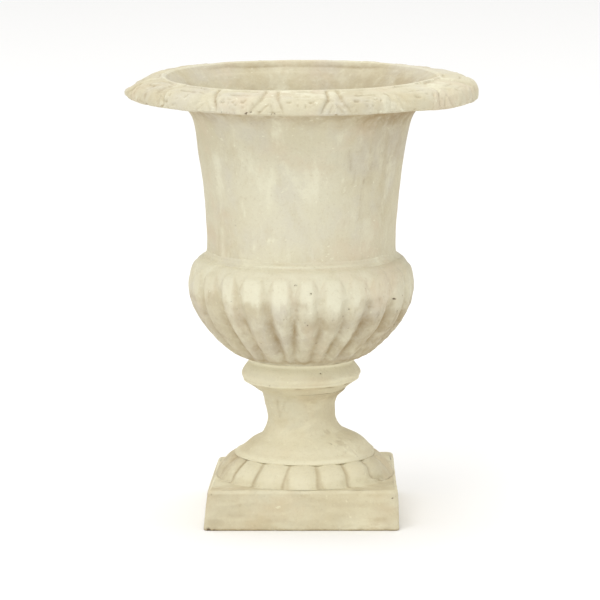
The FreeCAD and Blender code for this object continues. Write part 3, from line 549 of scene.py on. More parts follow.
def rim_carving(grid, crest):
    """Darts with a tongue between stepped panels, as offset and as dirt with painted shade, by the distance outwards
    from the crest.
    """
    s = crest - grid.along
    azimuth = grid.azimuth - 0.05
    dart = np.floor(azimuth / DART_PITCH).astype(int)
    v = azimuth - (dart + 0.5) * DART_PITCH
    panel = np.round(azimuth / DART_PITCH).astype(int)
    u = azimuth - panel * DART_PITCH
    which = dart % RIM_DARTS
    luck = dart_luck[which]
    strength = groove_strength[which]
    panel_luck = dart_luck[panel % RIM_DARTS][:, ::-1]
    width = np.radians(1) * grid.radius
    spots = grid.points()
    wander = noise(spots, 9, 1) * 0.45 + noise(spots, 4, 2) * 0.3
    left, right = np.zeros(len(s)), np.zeros(len(s))
    for number in range(RIM_DARTS):
        mine = which == number
        left[mine] = np.interp(s[mine], EDGE_AT, dart_edges[number, 0])
        right[mine] = np.interp(s[mine], EDGE_AT, dart_edges[number, 1])
    # The dart's ground is sunk between its two grooves, and rounded off beyond them
    depth_in = np.minimum(v - left, right - v) * width
    inside = smooth(depth_in, -0.8, 2.4)
    offset = -inside * np.interp(s, [0, 14, 20, 25, 30, 36, 41, 44], [0.4, 0.6, 1.1, 2.2, 2.6, 2.2, 1.3, 0.5])
    offset -= (1 - smooth(-depth_in, 0, 6)) * 0.8 * np.interp(s, [0, 20, 30, 44], [0.3, 0.6, 1.0, 0.6])
    deep = 0.9 * np.interp(s, [0, 2, 6, 20, 26, 36, 41, 44], [0.8, 1.8, 1.9, 1.9, 1.7, 1.6, 1.2, 0.3])
    thick = np.interp(s, [0, 18, 30, 44], [2.1, 2.2, 1.8, 1.6])
    grooves = 0
    for index, line in enumerate((left, right)):
        groove = hump((v - line) * width + wander, thick * (1 + 0.2 * luck[:, index + 4]))
        grooves = np.maximum(grooves, deep * strength[:, index] * groove)
    middle = v - (left + right) / 2
    tongue = 0.8 * hump(middle * width + wander, 1.7) * inside * smooth(s, 12, 24)
    fork = np.interp(s, [29, 42], [0, 2.3])
    inner = hump((np.abs(middle) - fork) * width + wander, 1.25) * smooth(s, 29, 31.5) * inside
    inner *= np.clip(strength.mean(axis=1), 0.3, 1.1)
    cross = 0.4 * hump(s - 24.5 + 0.3 * wander, 0.7) * inside
    offset += tongue - inner - cross
    # Stepped panels: each terrace drops outwards, a little arched
    steps = 0
    for index, (start, drop, reach) in enumerate(((2.2, 0.9, 6.6), (17, 1.0, 4.6), (27, 0.3, 3.4))):
        line = s - (start + 0.05 * u * u + 0.5 * wander + 0.5 * panel_luck[:, 1])
        fall = np.where(line > 0, np.exp(-np.maximum(line, 0) / 3.0), smooth(line, -0.5, 0))
        ends = 1 - smooth(np.abs(u + 0.8 * panel_luck[:, index + 9]), reach - 1.5, reach + 0.3)
        steps += (1.1 + 0.4 * panel_luck[:, index + 12]) * drop * (fall + 0.6 * hump(line - 0.6, 0.8)) * ends
    # Leaf marks, slots and a pit on the panel's outer face
    marks = 0
    for side in (-1, 1):
        across = (u - side * (4.1 + 0.3 * panel_luck[:, 4])) * width
        down = s - 29.5 - 0.6 * panel_luck[:, 3]
        leaf = hump(across * 0.83 + side * down * 0.55, 1.1) * hump(down * 0.83 - side * across * 0.55, 2.2)
        slot = hump((u - side * 1.5) * width + 0.4 * wander, 0.8) * hump(s - 33.4, 2.1)
        lower = hump((u - side * 6.0) * width, 0.9) * hump(s - 35.5 - panel_luck[:, 6], 1.7)
        marks = np.maximum(marks, 1.7 * leaf)
        marks = np.maximum(marks, 1.3 * slot * (0.6 + 0.4 * panel_luck[:, 5]))
        marks = np.maximum(marks, 1.1 * lower * (0.5 + 0.5 * panel_luck[:, 7]))
    pit = hump((u - 1.2 - 2 * panel_luck[:, 8]) * width, 0.9) * hump(s - 37.8, 0.9)
    for centre, out, across, along, deep in rim_marks:
        far = ((azimuth - centre) * width + 0.8 * wander) / across
        near = np.exp(-(far**4)) * hump(s - out + 0.6 * wander, along)
        marks = np.maximum(marks, deep * near * (np.abs(azimuth) < 90))
    cuts = np.maximum(grooves, steps) + marks + 0.9 * pit
    rough = 0.32 * noise(spots, 5.5, 60) + 0.2 * noise(spots, 2.6, 61)
    # Dirt and painted shade in the cuts and low spots; the rim is also a little darker towards the left
    dirt = 0.1 + 0.4 * smooth(cuts, 0.3, 2.6) + 0.16 * inner + 0.22 * smooth(-rough, 0.12, 0.38)
    fade = smooth(s, 0.2, 2.2) * (1 - smooth(s, 41, 45))
    return (offset - cuts + rough) * fade, (dirt + 0.14 * smooth(-azimuth, 25, 60)) * fade


def rim_and_wall():
    """The upper casting."""
    foot, flare, root, ledge, thick = 83.2, 96.0, 112.0, 62.0, 6
    mouth = bowed((119, 388.4), (flare - thick, 348.5), 0.075)
    outline = Outline([
        *legs((ledge, WALL_FOOT), (foot, WALL_FOOT, 5, 256), (flare, 348.5, 46, 256, -0.03),
              (root, 368.5, 12, 256, -0.114), (143.5, 378.6, 12, 256, -0.05),
              ([(145.6, 375.6), (149.3, 372.5), (152.4, 372.0), (155.0, 373.6)], 12, 1024),
              (146.5, 386.6, 20, 1024, 0.19), (124, 389.2, 25, 1024, 0.02), (119, 388.4, 7, 1024, 0.24)),
        (mouth[:48], 20, 512),
        (mouth[48:], 14, 256),
        *legs((flare - thick, 348.5), (77.2, 239.5, 28, 256, 0.03), (75.7, 238, 2, 256),
              (ledge, 238, 4, 256), (ledge, WALL_FOOT, 3, 256)),
    ], 0.55)
    grid = turned_grid(outline)
    z, side = grid.height, grid.rightward()
    crest = outline.along[outline.part == CREST][3]  # the carving is measured from this row
    carved, dirt = rim_carving(grid, crest)
    rim = np.isin(grid.part, (LIP, ROLL, BROW, CREST))
    grid.offset += rim * carved
    grid.dirt += rim * dirt
    spots = grid.points()
    grid.offset += np.where(rim, 0.28, 0.42) * noise(spots, 24, 3) + 0.16 * noise(spots, 8, 4) - 0.3 * rim
    grid.offset += 0.5 * noise(spots, 70, 6) * smooth(z, 234, 246) * (1 - smooth(z, 352, 366))
    # Chips along the lower lip, and flakes at (azimuth, width, strength)
    far_out = grid.radius > 149
    low_lip = hump(z - 373.2, 1.4) * far_out * smooth(noise(spots, 4.5, 8), 0.35, 0.65)
    grid.offset -= 0.5 * low_lip
    grid.dirt += 0.55 * low_lip
    flaked = sum(strength * grid.near(centre, width) for centre, width, strength in (
        (-24, 4, 1), (-16.8, 2.5, 1), (-9.4, 1.5, 1), (-38, 9, 0.5), (22, 10, 0.4), (-62, 12, 0.6), (52, 8, 0.4)))
    flaked = far_out * np.minimum(flaked, 1)
    grid.pit += 1.1 * smooth(noise(spots, 1.7, 91), 0.25, 0.6) * hump(z - 373.6, 1.6) * flaked
    grid.pale += 0.8 * smooth(-noise(spots, 2.2, 91), 0.25, 0.5) * hump(z - 374.5, 2.2) * flaked
    # The rim is fuller at the far right
    grid.offset += 1.3 * (grid.part == ROLL) * grid.near(90, 16) * hump(z - 381, 4.5)
    # An inner bead just below the mouth's edge, with a shallow step under it, plainest near the middle
    off_middle = np.abs(spots[:, 0])
    inner_lip = (grid.part == MOUTH) * (1 - 0.75 * smooth(off_middle, 55, 100))
    step_height = 385.3 + 2.2 * smooth(off_middle, 40, 112) + 0.5 * noise(spots, 22, 9)
    grid.offset += 0.6 * inner_lip * hump(z - step_height - 2.0, 1.7)
    grid.offset -= 0.35 * inner_lip * smooth(step_height - z, -0.5, 0.8) * smooth(z, 376, 382)
    # Painted shadow in the step under the bead; the band just inside the mouth's edge is darker too
    grid.dirt += 0.16 * inner_lip * hump(z - step_height + 0.4, 1.0) * (0.7 + 0.5 * noise(spots, 20, 62))
    grid.dirt += 0.12 * inner_lip * smooth(z, 383, 386)
    # Painted shade under the rim and inside the mouth, more deeply inside and just under the edge, mostly on the
    # right; the lip is a little darker, and the blotches inside are stains
    grid.dirt += 0.5 * np.isin(grid.part, (FLARE, UNDERSIDE)) * smooth(z, 345, 368) + 0.25 * (grid.part == LIP)
    inside = grid.part >= MOUTH
    ends = 0.14 * smooth(side, -0.15, 0.25) + 0.08 * smooth(side, 0.3, 0.8) + 0.05 * smooth(-side, 0.75, 0.98)
    blotches = 0.12 * smooth(noise(spots * [1, 1, 1.6], 15, 10), 0.15, 0.6)
    grid.dirt += inside * (0.2 + 0.2 * smooth(330 - z, 0, 90) + ends * smooth(388 - z, 0, 8)
                           + blotches * smooth(382 - z, 0, 10))
    # Painted shade down the right of the wall, more so higher up, and at its far left; a little darker low down
    wall = np.isin(grid.part, (WALL, FLARE))
    grid.dirt += wall * ((0.1 + 0.26 * smooth(z, 275, 335)) * smooth(side, 0.15, 0.85)
                         + 0.14 * smooth(-side, 0.4, 1) + 0.07 * smooth(310 - z, 0, 30))
    # Painted highlight along the crest and on the front of the wall, a little left of the middle
    grid.pale += 0.12 * (grid.part == CREST) + 0.2 * wall * grid.near(-8, 30) * smooth(345 - z, 0, 40)
    wander, broken = 0.6 * noise(spots, 4, 92), wall * (0.75 + 0.35 * noise(spots, 3.5, 93))
    for start, top, end, low, wide, dark in wall_marks:
        share = np.clip((top - z) / (top - low), 0, 1)
        apart = grid.arc_from(start + (end - start) * share) + wander
        past = np.maximum(np.maximum(z - top, low - z), 0)
        mark = hump(apart, wide) * hump(past, wide) * broken
        grid.offset -= 0.35 * mark * np.sign(dark)
        grid.dirt += np.maximum(mark * dark, 0)
        grid.pale += np.maximum(-mark * dark, 0)
    add_pits(grid, spots, rim_pits, 0.6)
    points = grid.points()
    # The mouth's edge stands further in on the front right
    azimuth = grid.azimuth
    nearer = 6.5 * smooth(azimuth, -25, 5) * (1 - smooth(azimuth, 65, 90)) * (z > 350) * (grid.part > LIP)
    nearer *= np.where(inside, smooth(z, 352, 386), 1 - smooth(grid.radius, 120, 137))
    points[:, 0] -= nearer * side
    points[:, 1] += nearer * np.cos(np.radians(azimuth))
    points[:, 2] += 0.1 * nearer * smooth(z, 380, 389)
    # The casting is out of true: the rim is thin and low at the far left and heavy at the far right
    outer = smooth(grid.radius, 132, 150)
    low_left = hump(azimuth + 93, np.where(azimuth > -93, 14, 24))
    points[:, 2] -= 6.5 * low_left * outer * smooth(z, 374, 386)
    heavy = 2.0 * smooth(azimuth, 35, 60) * (1 - smooth(azimuth, 100, 130)) + 1.5 * hump(azimuth - 90, 14)
    points[:, 2] -= heavy * outer * (1 - smooth(z, 374, 384))
    # The wall is slimmer at its upper left
    slim = smooth(z, 318, 350) * (1 - smooth(z, 354, 370)) * np.clip(-side, 0, 1) ** 2
    points[:, 0] += 1.8 * slim * (grid.part < LIP)
    points[:, 2] = np.minimum(points[:, 2], TOP)
    make_piece("rim_and_wall_casting", grid, points, ["rim_and_wall"], paint)


# ---------------------------------------------------------------- bowl
LOBES = 24
# Flutes: azimuth at heights 205, 175 and 150, and the height where each one fades; these are seen on the front
flutes = [
    (-47.2, -45.5, -44.8, 207), (-34.0, -32.0, -31.5, 206), (-17.9, -16.4, -13.2, 201), (-3.5, -4.0, -5.0, 207),
    (9.2, 10.8, 8.2, 202), (23.7, 23.2, 19.2, 200), (37.4, 36.0, 31.8, 200), (53.5, 51.5, 47.5, 198),
]
flute_luck = np.random.default_rng(8).uniform(-1, 1, (LOBES, 6))
for number, luck in enumerate(flute_luck[:16], 1):
    middle = 53.5 + number * 259.3 / 17 + 0.9 * luck[0]
    flutes.append((middle, middle + 0.8 * luck[1], middle + 1.5 * luck[2], 203 + 3 * luck[3]))

bowl_pits = [
    (-3.2, 218.5, 0.9, 1), (-2.9, 213.5, 0.7, 0.5), (5.0, 212.0, 0.9, 0.7), (33.6, 215.5, 0.9, 0.4),
    (56.0, 200.0, 1.3, 1), (66.0, 219.0, 1.0, 0.6), (16.5, 187.0, 0.8, 0.5), (-10.0, 181.5, 0.8, 0.5),
    (-5.2, 180.5, 0.8, 0.4), (-9.2, 187.5, 0.7, 0.45), (-42.6, 195.5, 1.0, 0.5), (-41.6, 190.0, 0.9, 0.4),
    (21.3, 190.5, 0.8, 0.35), (19.0, 213.0, 0.8, 0.3), (-13.0, 172.5, 0.8, 0.3), (4.2, 176.0, 0.7, 0.3),
    (-24.0, 200.0, 0.7, 0.3), (44.0, 188.0, 0.8, 0.35),
]
# Groups of small pits: azimuths, heights and how many
pit_luck = np.random.default_rng(31)
for west, east, low, high, count in (
    (34, 76, 168, 216, 34), (-14, -1, 176, 198, 9), (16, 30, 182, 196, 7), (-46, -34, 186, 202, 6),
    (-6, 10, 206, 220, 5), (-30, 34, 150, 185, 8),
):
    for _ in range(count):
        bowl_pits.append([pit_luck.uniform(*ends) for ends in ((west, east), (low, high), (0.55, 1.0), (0.35, 0.7))])


def bowl():
    """The gadrooned casting."""
    skin = [(48.3, 139.2), (48.9, 140.0), (49.9, 140.6), (53.6, 141.2), (59.5, 143.7), (69.3, 151.0), (80.0, 162.0),
            (90.2, 175.5), (97.2, 189.0), (99.6, 201.5), (98.9, 212.5), (96.5, 221.0), (92.0, 226.8), (84.9, 231.0)]
    outline = Outline(legs(
        (13, 135), (23.6, 135, 3, 256), (23.6, BOWL, 2, 256), (46.8, 138.6, 4, 256), (skin, 82, 768),
        (62, JOINT, 5, 256), (62, 225, 3, 256), (81.9, 225, 5, 256), (88.7, 201, 8, 256, -0.12),
        (40, 147, 20, 256, -0.14), (13, 147, 6, 256), (13, 135, 3, 256)), 0.5)
    grid = turned_grid(outline)
    outside = grid.part == 3  # the skin's curve
    z, side, spots = grid.height, grid.rightward(), grid.points()
    # Distance in millimetres from the nearest flute, and its share of the lobe's half width
    nearest = np.full(len(z), 1e9)
    signed, top, which = np.zeros(len(z)), np.zeros(len(z)), np.zeros(len(z), int)
    for index, (upper, middle, lower, fades) in enumerate(flutes):
        apart = grid.arc_from(np.interp(z, [150, 175, 205], [lower, middle, upper]))
        closer = np.abs(apart) < nearest
        nearest = np.where(closer, np.abs(apart), nearest)
        signed[closer], top[closer], which[closer] = apart[closer], fades, index
    half_pitch = np.radians(360 / LOBES) * grid.radius / 2
    share = nearest / half_pitch
    wander = noise(spots, 14, 2) * 0.6 + noise(spots, 5, 3) * 0.25
    luck = flute_luck[which]
    # Each flute is a broad soft valley with a rounded upper end; a shallower one goes on between the lobes' tops
    level = nearest + wander * 0.5 * np.sign(signed)
    across = np.hypot(level, np.maximum(z - top, 0) * 1.1) / half_pitch
    deep = np.interp(z, [139, 142, 145, 150, 160, 178, 195, 205, 213, 219],
                     [0, 0.3, 1.3, 2.3, 2.9, 3.1, 2.8, 2.3, 1.2, 0.2]) * (1 + 0.16 * luck[:, 5])
    wide = np.interp(z, [150, 185, 205, 215], [0.78, 0.74, 0.56, 0.45]) + 0.08 * luck[:, 4]
    shallow = np.interp(z, [139, 146, 175, 205, 215, 222, 227], [0, 0.8, 1.2, 1.3, 1.3, 0.8, 0])
    groove = deep * (1 - smooth(across, 0.1, wide)) + shallow * (1 - smooth(np.abs(level) / half_pitch, 0, 0.6))
    # Lobes stand a little proud, with rounded tops
    crown = 223.5 - 13 * np.clip(1 - share, 0, 1) ** 3.6 + 1.5 * luck[:, 3] + 1.5 * noise(spots, 9, 69)
    over = smooth(z - crown, -2.2, 1.8)
    groove += 0.8 * over * (1 - smooth(z, 224, 229))
    # The right of the bowl is rougher and pitted
    pitted = smooth(grid.azimuth, 32, 50) * (1 - smooth(grid.azimuth, 80, 100)) * smooth(219 - z, 0, 12)
    rough = (0.22 + 0.12 * pitted) * noise(spots, 6, 8) + (0.1 + 0.2 * pitted) * noise(spots, 2.6, 9)
    # A thin crease along the bottom of each flute, low down, with a darker line in it
    crease = hump(level + 0.6 * noise(spots, 7, 72), 1.3) * smooth(190 - z, 0, 14) * smooth(z, 142, 148)
    grid.offset += outside * (0.38 * noise(spots, 18, 7) + rough - groove - 0.35 * crease)
    # Where the lower half starts, which is worn, dirtier and darker with painted shade
    worn = smooth(202.5 + 4.5 * luck[:, 1] + 6 * noise(spots, 11, 63) + 2.5 * noise(spots, 4, 67) - z, -5, 6)
    low_stain_and_shade = worn * (0.2 + 0.07 * smooth(noise(spots, 12, 64), 0, 0.6))
    valley = smooth(groove, 1.6, 4.2) * (1 - over)
    caps = (1 - worn) * (1 - over) * smooth(share, 0.3, 0.6)
    far_left = smooth(-grid.azimuth, 25, 65)
    # Painted shade in the flutes, low down and along the right; dirt in the lower half and the rough spots; darker in
    # the crease, just above the foot and on the upper far left
    grid.dirt += np.where(outside, (
        valley * (0.08 + 0.04 * worn) * (1 + 0.4 * luck[:, 2])
        + 0.16 * crease * (0.7 + 0.6 * noise(spots, 10, 73))
        + low_stain_and_shade * (1 - 0.35 * pitted) + 0.14 * smooth(196 - z, 0, 14)
        + 0.14 * smooth(side, 0.2, 1) * smooth(206 - z, 0, 30) + 0.12 * smooth(side, 0.4, 0.9)
        + (0.16 - 0.04 * pitted) * smooth(-rough, 0.1, 0.26 + 0.16 * pitted) * (0.4 + 0.6 * worn)
        + 0.2 * hump(z - 143, 2.2) + 0.1 * far_left * (grid.azimuth > -120) * (z > 195)
    ), 0.45)
    # Painted highlight on the bowl's bottom edge, and on the lobes' caps and rounded tops towards the left; rough
    # spots on the pitted right are paler
    grid.pale += outside * (
        0.4 * pitted * smooth(rough, 0.12, 0.4) + 0.5 * hump(z - 139.9, 0.9)
        + 0.75 * caps * smooth(-grid.azimuth, -70, 0) * (1 - 0.6 * far_left)
        + 0.45 * over * smooth(-grid.azimuth, -80, 0))
    add_pits(grid, spots, bowl_pits)
    make_piece("bowl_casting", grid, grid.points(), ["bowl"], paint)


# ---------------------------------------------------------------- collar
def collar():
    """The moulded ring under the bowl."""
    outline = Outline(legs(
        (18, 106), (23.6, 106, 2, 160), (23.6, COLLAR, 2, 160), (37.0, COLLAR, 4, 160),
        ([(38.2, 110.9), (40.6, 113.0), (43.4, 115.2), (46.6, 117.3), (49.2, 118.9)], 16, 480),
        ([(50.4, 119.8), (50.9, 121.0), (51.9, 123.0), (52.6, 125.2), (52.0, 127.6), (50.6, 130.2), (49.0, 132.4),
          (47.6, 134.2), (46.6, 135.6), (46.2, 136.6)], 38, 480),
        ([(46.5, 137.4), (47.1, 138.2), (47.3, 139.0)], 5, 480),
        (24, BOWL, 4, 160), (24, 134.6, 2, 160), (18, 134.6, 2, 160), (18, 106, 5, 160)), 0.3)
    grid = turned_grid(outline)
    z, spots = grid.height, grid.points()
    outside = np.isin(grid.part, (3, 4, 5))  # the three curves
    grid.offset += outside * (0.28 * noise(spots, 18, 11) + 0.14 * noise(spots, 7, 12) + 0.07 * noise(spots, 2.5, 13))
    # A thin bead along the lip, with a line under it that is open here and there
    grid.offset += outside * (0.3 * hump(z - 120.3, 0.8) - 0.15 * hump(z - 122.6, 1.2))
    under_lip = outside * hump(z - 118.3, 0.8) * smooth(noise(spots, 9, 14), -0.1, 0.5)
    grid.offset -= 0.6 * under_lip
    # Painted shade in the line under the lip
    grid.dirt += 0.5 * under_lip
    # Painted shade below the lip and down the right side
    grid.dirt += outside * (0.2 * (1 - smooth(z, 117, 119.6)) + 0.16 * smooth(grid.rightward(), 0.2, 1))
    # Painted highlight on the lip's edge, on the belly and on the top, which the bowl shades
    grid.pale += outside * (0.6 * hump(z - 120.4, 0.8) + 0.3 * smooth(z, 121.5, 123) + 0.6 * smooth(z, 127, 132))
    add_pits(grid, spots, [(20, 132.5, 0.9, 0.7), (-33, 121, 0.9, 0.5), (41, 122.5, 0.9, 0.4)], 0.5)
    # The ring sits a little out of true
    points = grid.points()
    points[:, 2] += outside * 0.02 * points[:, 0] * smooth(132 - z, 0, 10) * smooth(z, 108, 112)
    points[:, 0] += outside * 0.4 * (1 - smooth(z, 110, 118))
    make_piece("collar_casting", grid, points, ["collar"], foot_paint)


# ---------------------------------------------------------------- stem
stem_pits = [
    (27, 68, 1.6, 0.4), (44, 67, 0.9, 0.4), (30, 66.5, 1.2, 0.35), (45.3, 59.0, 0.9, 0.5), (49.2, 56.6, 0.9, 0.5),
    (52.3, 60.0, 0.7, 0.45), (41.7, 62.0, 0.7, 0.4),
]


def stem():
    """The waisted pedestal, cast a little off centre."""
    skin = [(61.6, 54.2), (59.7, 55.9), (55.3, 59.5), (53.3, 61.6), (50.6, 64.2), (45.6, 67.4), (40.4, 70.4),
            (35.2, 74.2), (31.8, 79.3), (30.0, 85.0), (30.2, 91.0), (31.2, 98.0), (32.6, 104.0), (34.6, 107.3),
            (36.8, 109.5), (39.1, 111.5)]
    outline = Outline(legs(
        (53.7, SEAT), (61.0, 52.8, 3, 384), (62.6, 53.0, 2, 384), (skin, 72, 384), (37.4, 111.4, 2, 384),
        (24, COLLAR, 3, 128), (24, 105.6, 2, 128), (18, 105.6, 2, 128), (18, 87.5, 4, 128),
        (37, 65.15, 8, 128), (53.7, 56.9, 6, 128), (53.7, SEAT, 2, 128)), 0.45)
    grid = turned_grid(outline)
    z, side, spots = grid.height, grid.rightward(), grid.points()
    outside = np.isin(grid.part, (1, 2, 3))  # the skin and the narrow lips at its ends
    # Faint marks down the left of the neck, and rough ridges where the casting was dressed on the right
    marks = np.maximum(grid.near(-37 + 5 * noise(spots, 9, 24), 3.5) * smooth(z, 84, 90),
                       0.8 * grid.near(-22 + 8 * noise(spots, 8, 25), 2.5) * smooth(z, 92, 96))
    marks *= 1 - smooth(z, 103, 107)
    rough_right = grid.near(42, 22) * smooth(z, 56, 60) * (1 - smooth(z, 76, 88))
    scar = noise(spots, 5.5, 26) + 0.5 * noise(spots, 2.4, 27)
    uneven = 0.35 * noise(spots, 16, 21) + 0.22 * noise(spots, 6, 22) + 0.08 * noise(spots, 2.5, 23)
    grid.offset += outside * (uneven - 0.4 * marks + 0.45 * rough_right * scar)
    # Painted shade under the collar, down the right of the neck and in a band on the right above the dish; darker low
    # on the left; dirt in the marks and on the scars
    grid.dirt += np.where(outside, (
        0.2 * smooth(z, 101, 108) + 0.28 * smooth(side, 0.2, 1) * smooth(z, 72, 90)
        + 0.1 * grid.near(24, 16) * smooth(z, 84, 92) + 0.15 * hump(z - 71, 3) * smooth(side, 0.1, 0.7)
        + 0.16 * smooth(-side, 0.3, 0.8) * smooth(84 - z, 0, 10)
        + 0.25 * marks + 0.28 * rough_right * smooth(-scar, 0.1, 0.7)
    ), 0.4)
    # Painted highlight along the dish's edge, except on the right, and over the front of the foot; paler on the
    # dressed scars
    grid.pale += outside * (
        0.6 * hump(z - 55.2, 1.6) * (1 - smooth(side, 0.45, 0.8))
        + 0.5 * smooth(82 - z, 0, 12) * (1 - smooth(np.abs(grid.azimuth + 5), 40, 75))
        + 0.4 * rough_right * smooth(scar, 0.3, 0.8))
    for azimuth, height, wide in ((43.5, 59.5, 1.0), (47.5, 57.0, 1.1), (50.5, 60.5, 0.9), (40.0, 62.5, 0.9)):
        ridge = outside * hump(grid.arc_from(azimuth) + 0.7 * (z - height), wide) * hump(z - height, 2.4)
        grid.offset += 0.5 * ridge
        grid.pale += 0.7 * ridge
    add_pits(grid, spots, stem_pits, 0.4)
    points = grid.points()
    lean_out = np.interp(z, [52.5, 54.3, 56, 59.5, 64, 67.6, 70.3, 74, 79.3, 85, 91, 98, 104.4, 109, 110],
                         [2.7, 2.9, 4.6, 5.2, 5.5, 6.6, 5.8, 2.8, 1.35, 0.65, 0, -1.2, -0.95, 0.5, 0.3])
    lean_in = np.interp(z, [53.5, 57, 62, 66, 75, 90, 110], [2.7, 2.7, 4.4, 4.4, 1.2, 0, 0])
    points[:, 0] += np.where(outside | (grid.part == 0), lean_out, lean_in)
    make_piece("stem_casting", grid, points, ["stem"], foot_paint)


# ---------------------------------------------------------------- plinth
# Slots between the cushion blocks: azimuth at the brow and at the toe, half width there in millimetres
slots = [
    (-73.5, -71.5, 1.2, 1.5), (-56.2, -53.1, 1.1, 1.5), (-35.3, -32.8, 1.1, 1.6), (-12.4, -10.6, 0.7, 3.9),
    (9.7, 12.4, 1.1, 3.0), (32.2, 32.4, 1.0, 1.6), (54.6, 55.6, 1.0, 1.4), (77.5, 78.5, 1.2, 1.6),
]
slot_luck = np.random.default_rng(21).uniform(-1, 1, (8, 4))
for number, luck in enumerate(slot_luck, 1):
    middle = 78 + number * 208.5 / 9 + 1.5 * luck[0]
    slots.append((middle, middle + 1.5 * luck[1], 1.1, 1.7 + 0.6 * luck[2]))
WIDE_SLOT, CROOKED_SLOT = 3, 6
plinth_pits = [
    (-44.2, 31.5, 1.3, 0.7), (43.4, 28.4, 1.2, 0.6), (-43.6, 0.8, 1.6, 1), (-41.8, 0.6, 1.3, 0.9),
    (-28, 22, 1.2, 0.35), (-21.5, 29.5, 1.3, 0.4), (-19.5, 27.5, 1.1, 0.4), (10, 24.5, 1.1, 0.3),
    (30, 21.5, 1.2, 0.35),
]
# The plinth's parts, from its sole up the faces, over the deck and the ring, and down inside
SOLE, FACE, EDGE, DECK, RING, SHELF, INSIDE, HOLLOW = range(8)


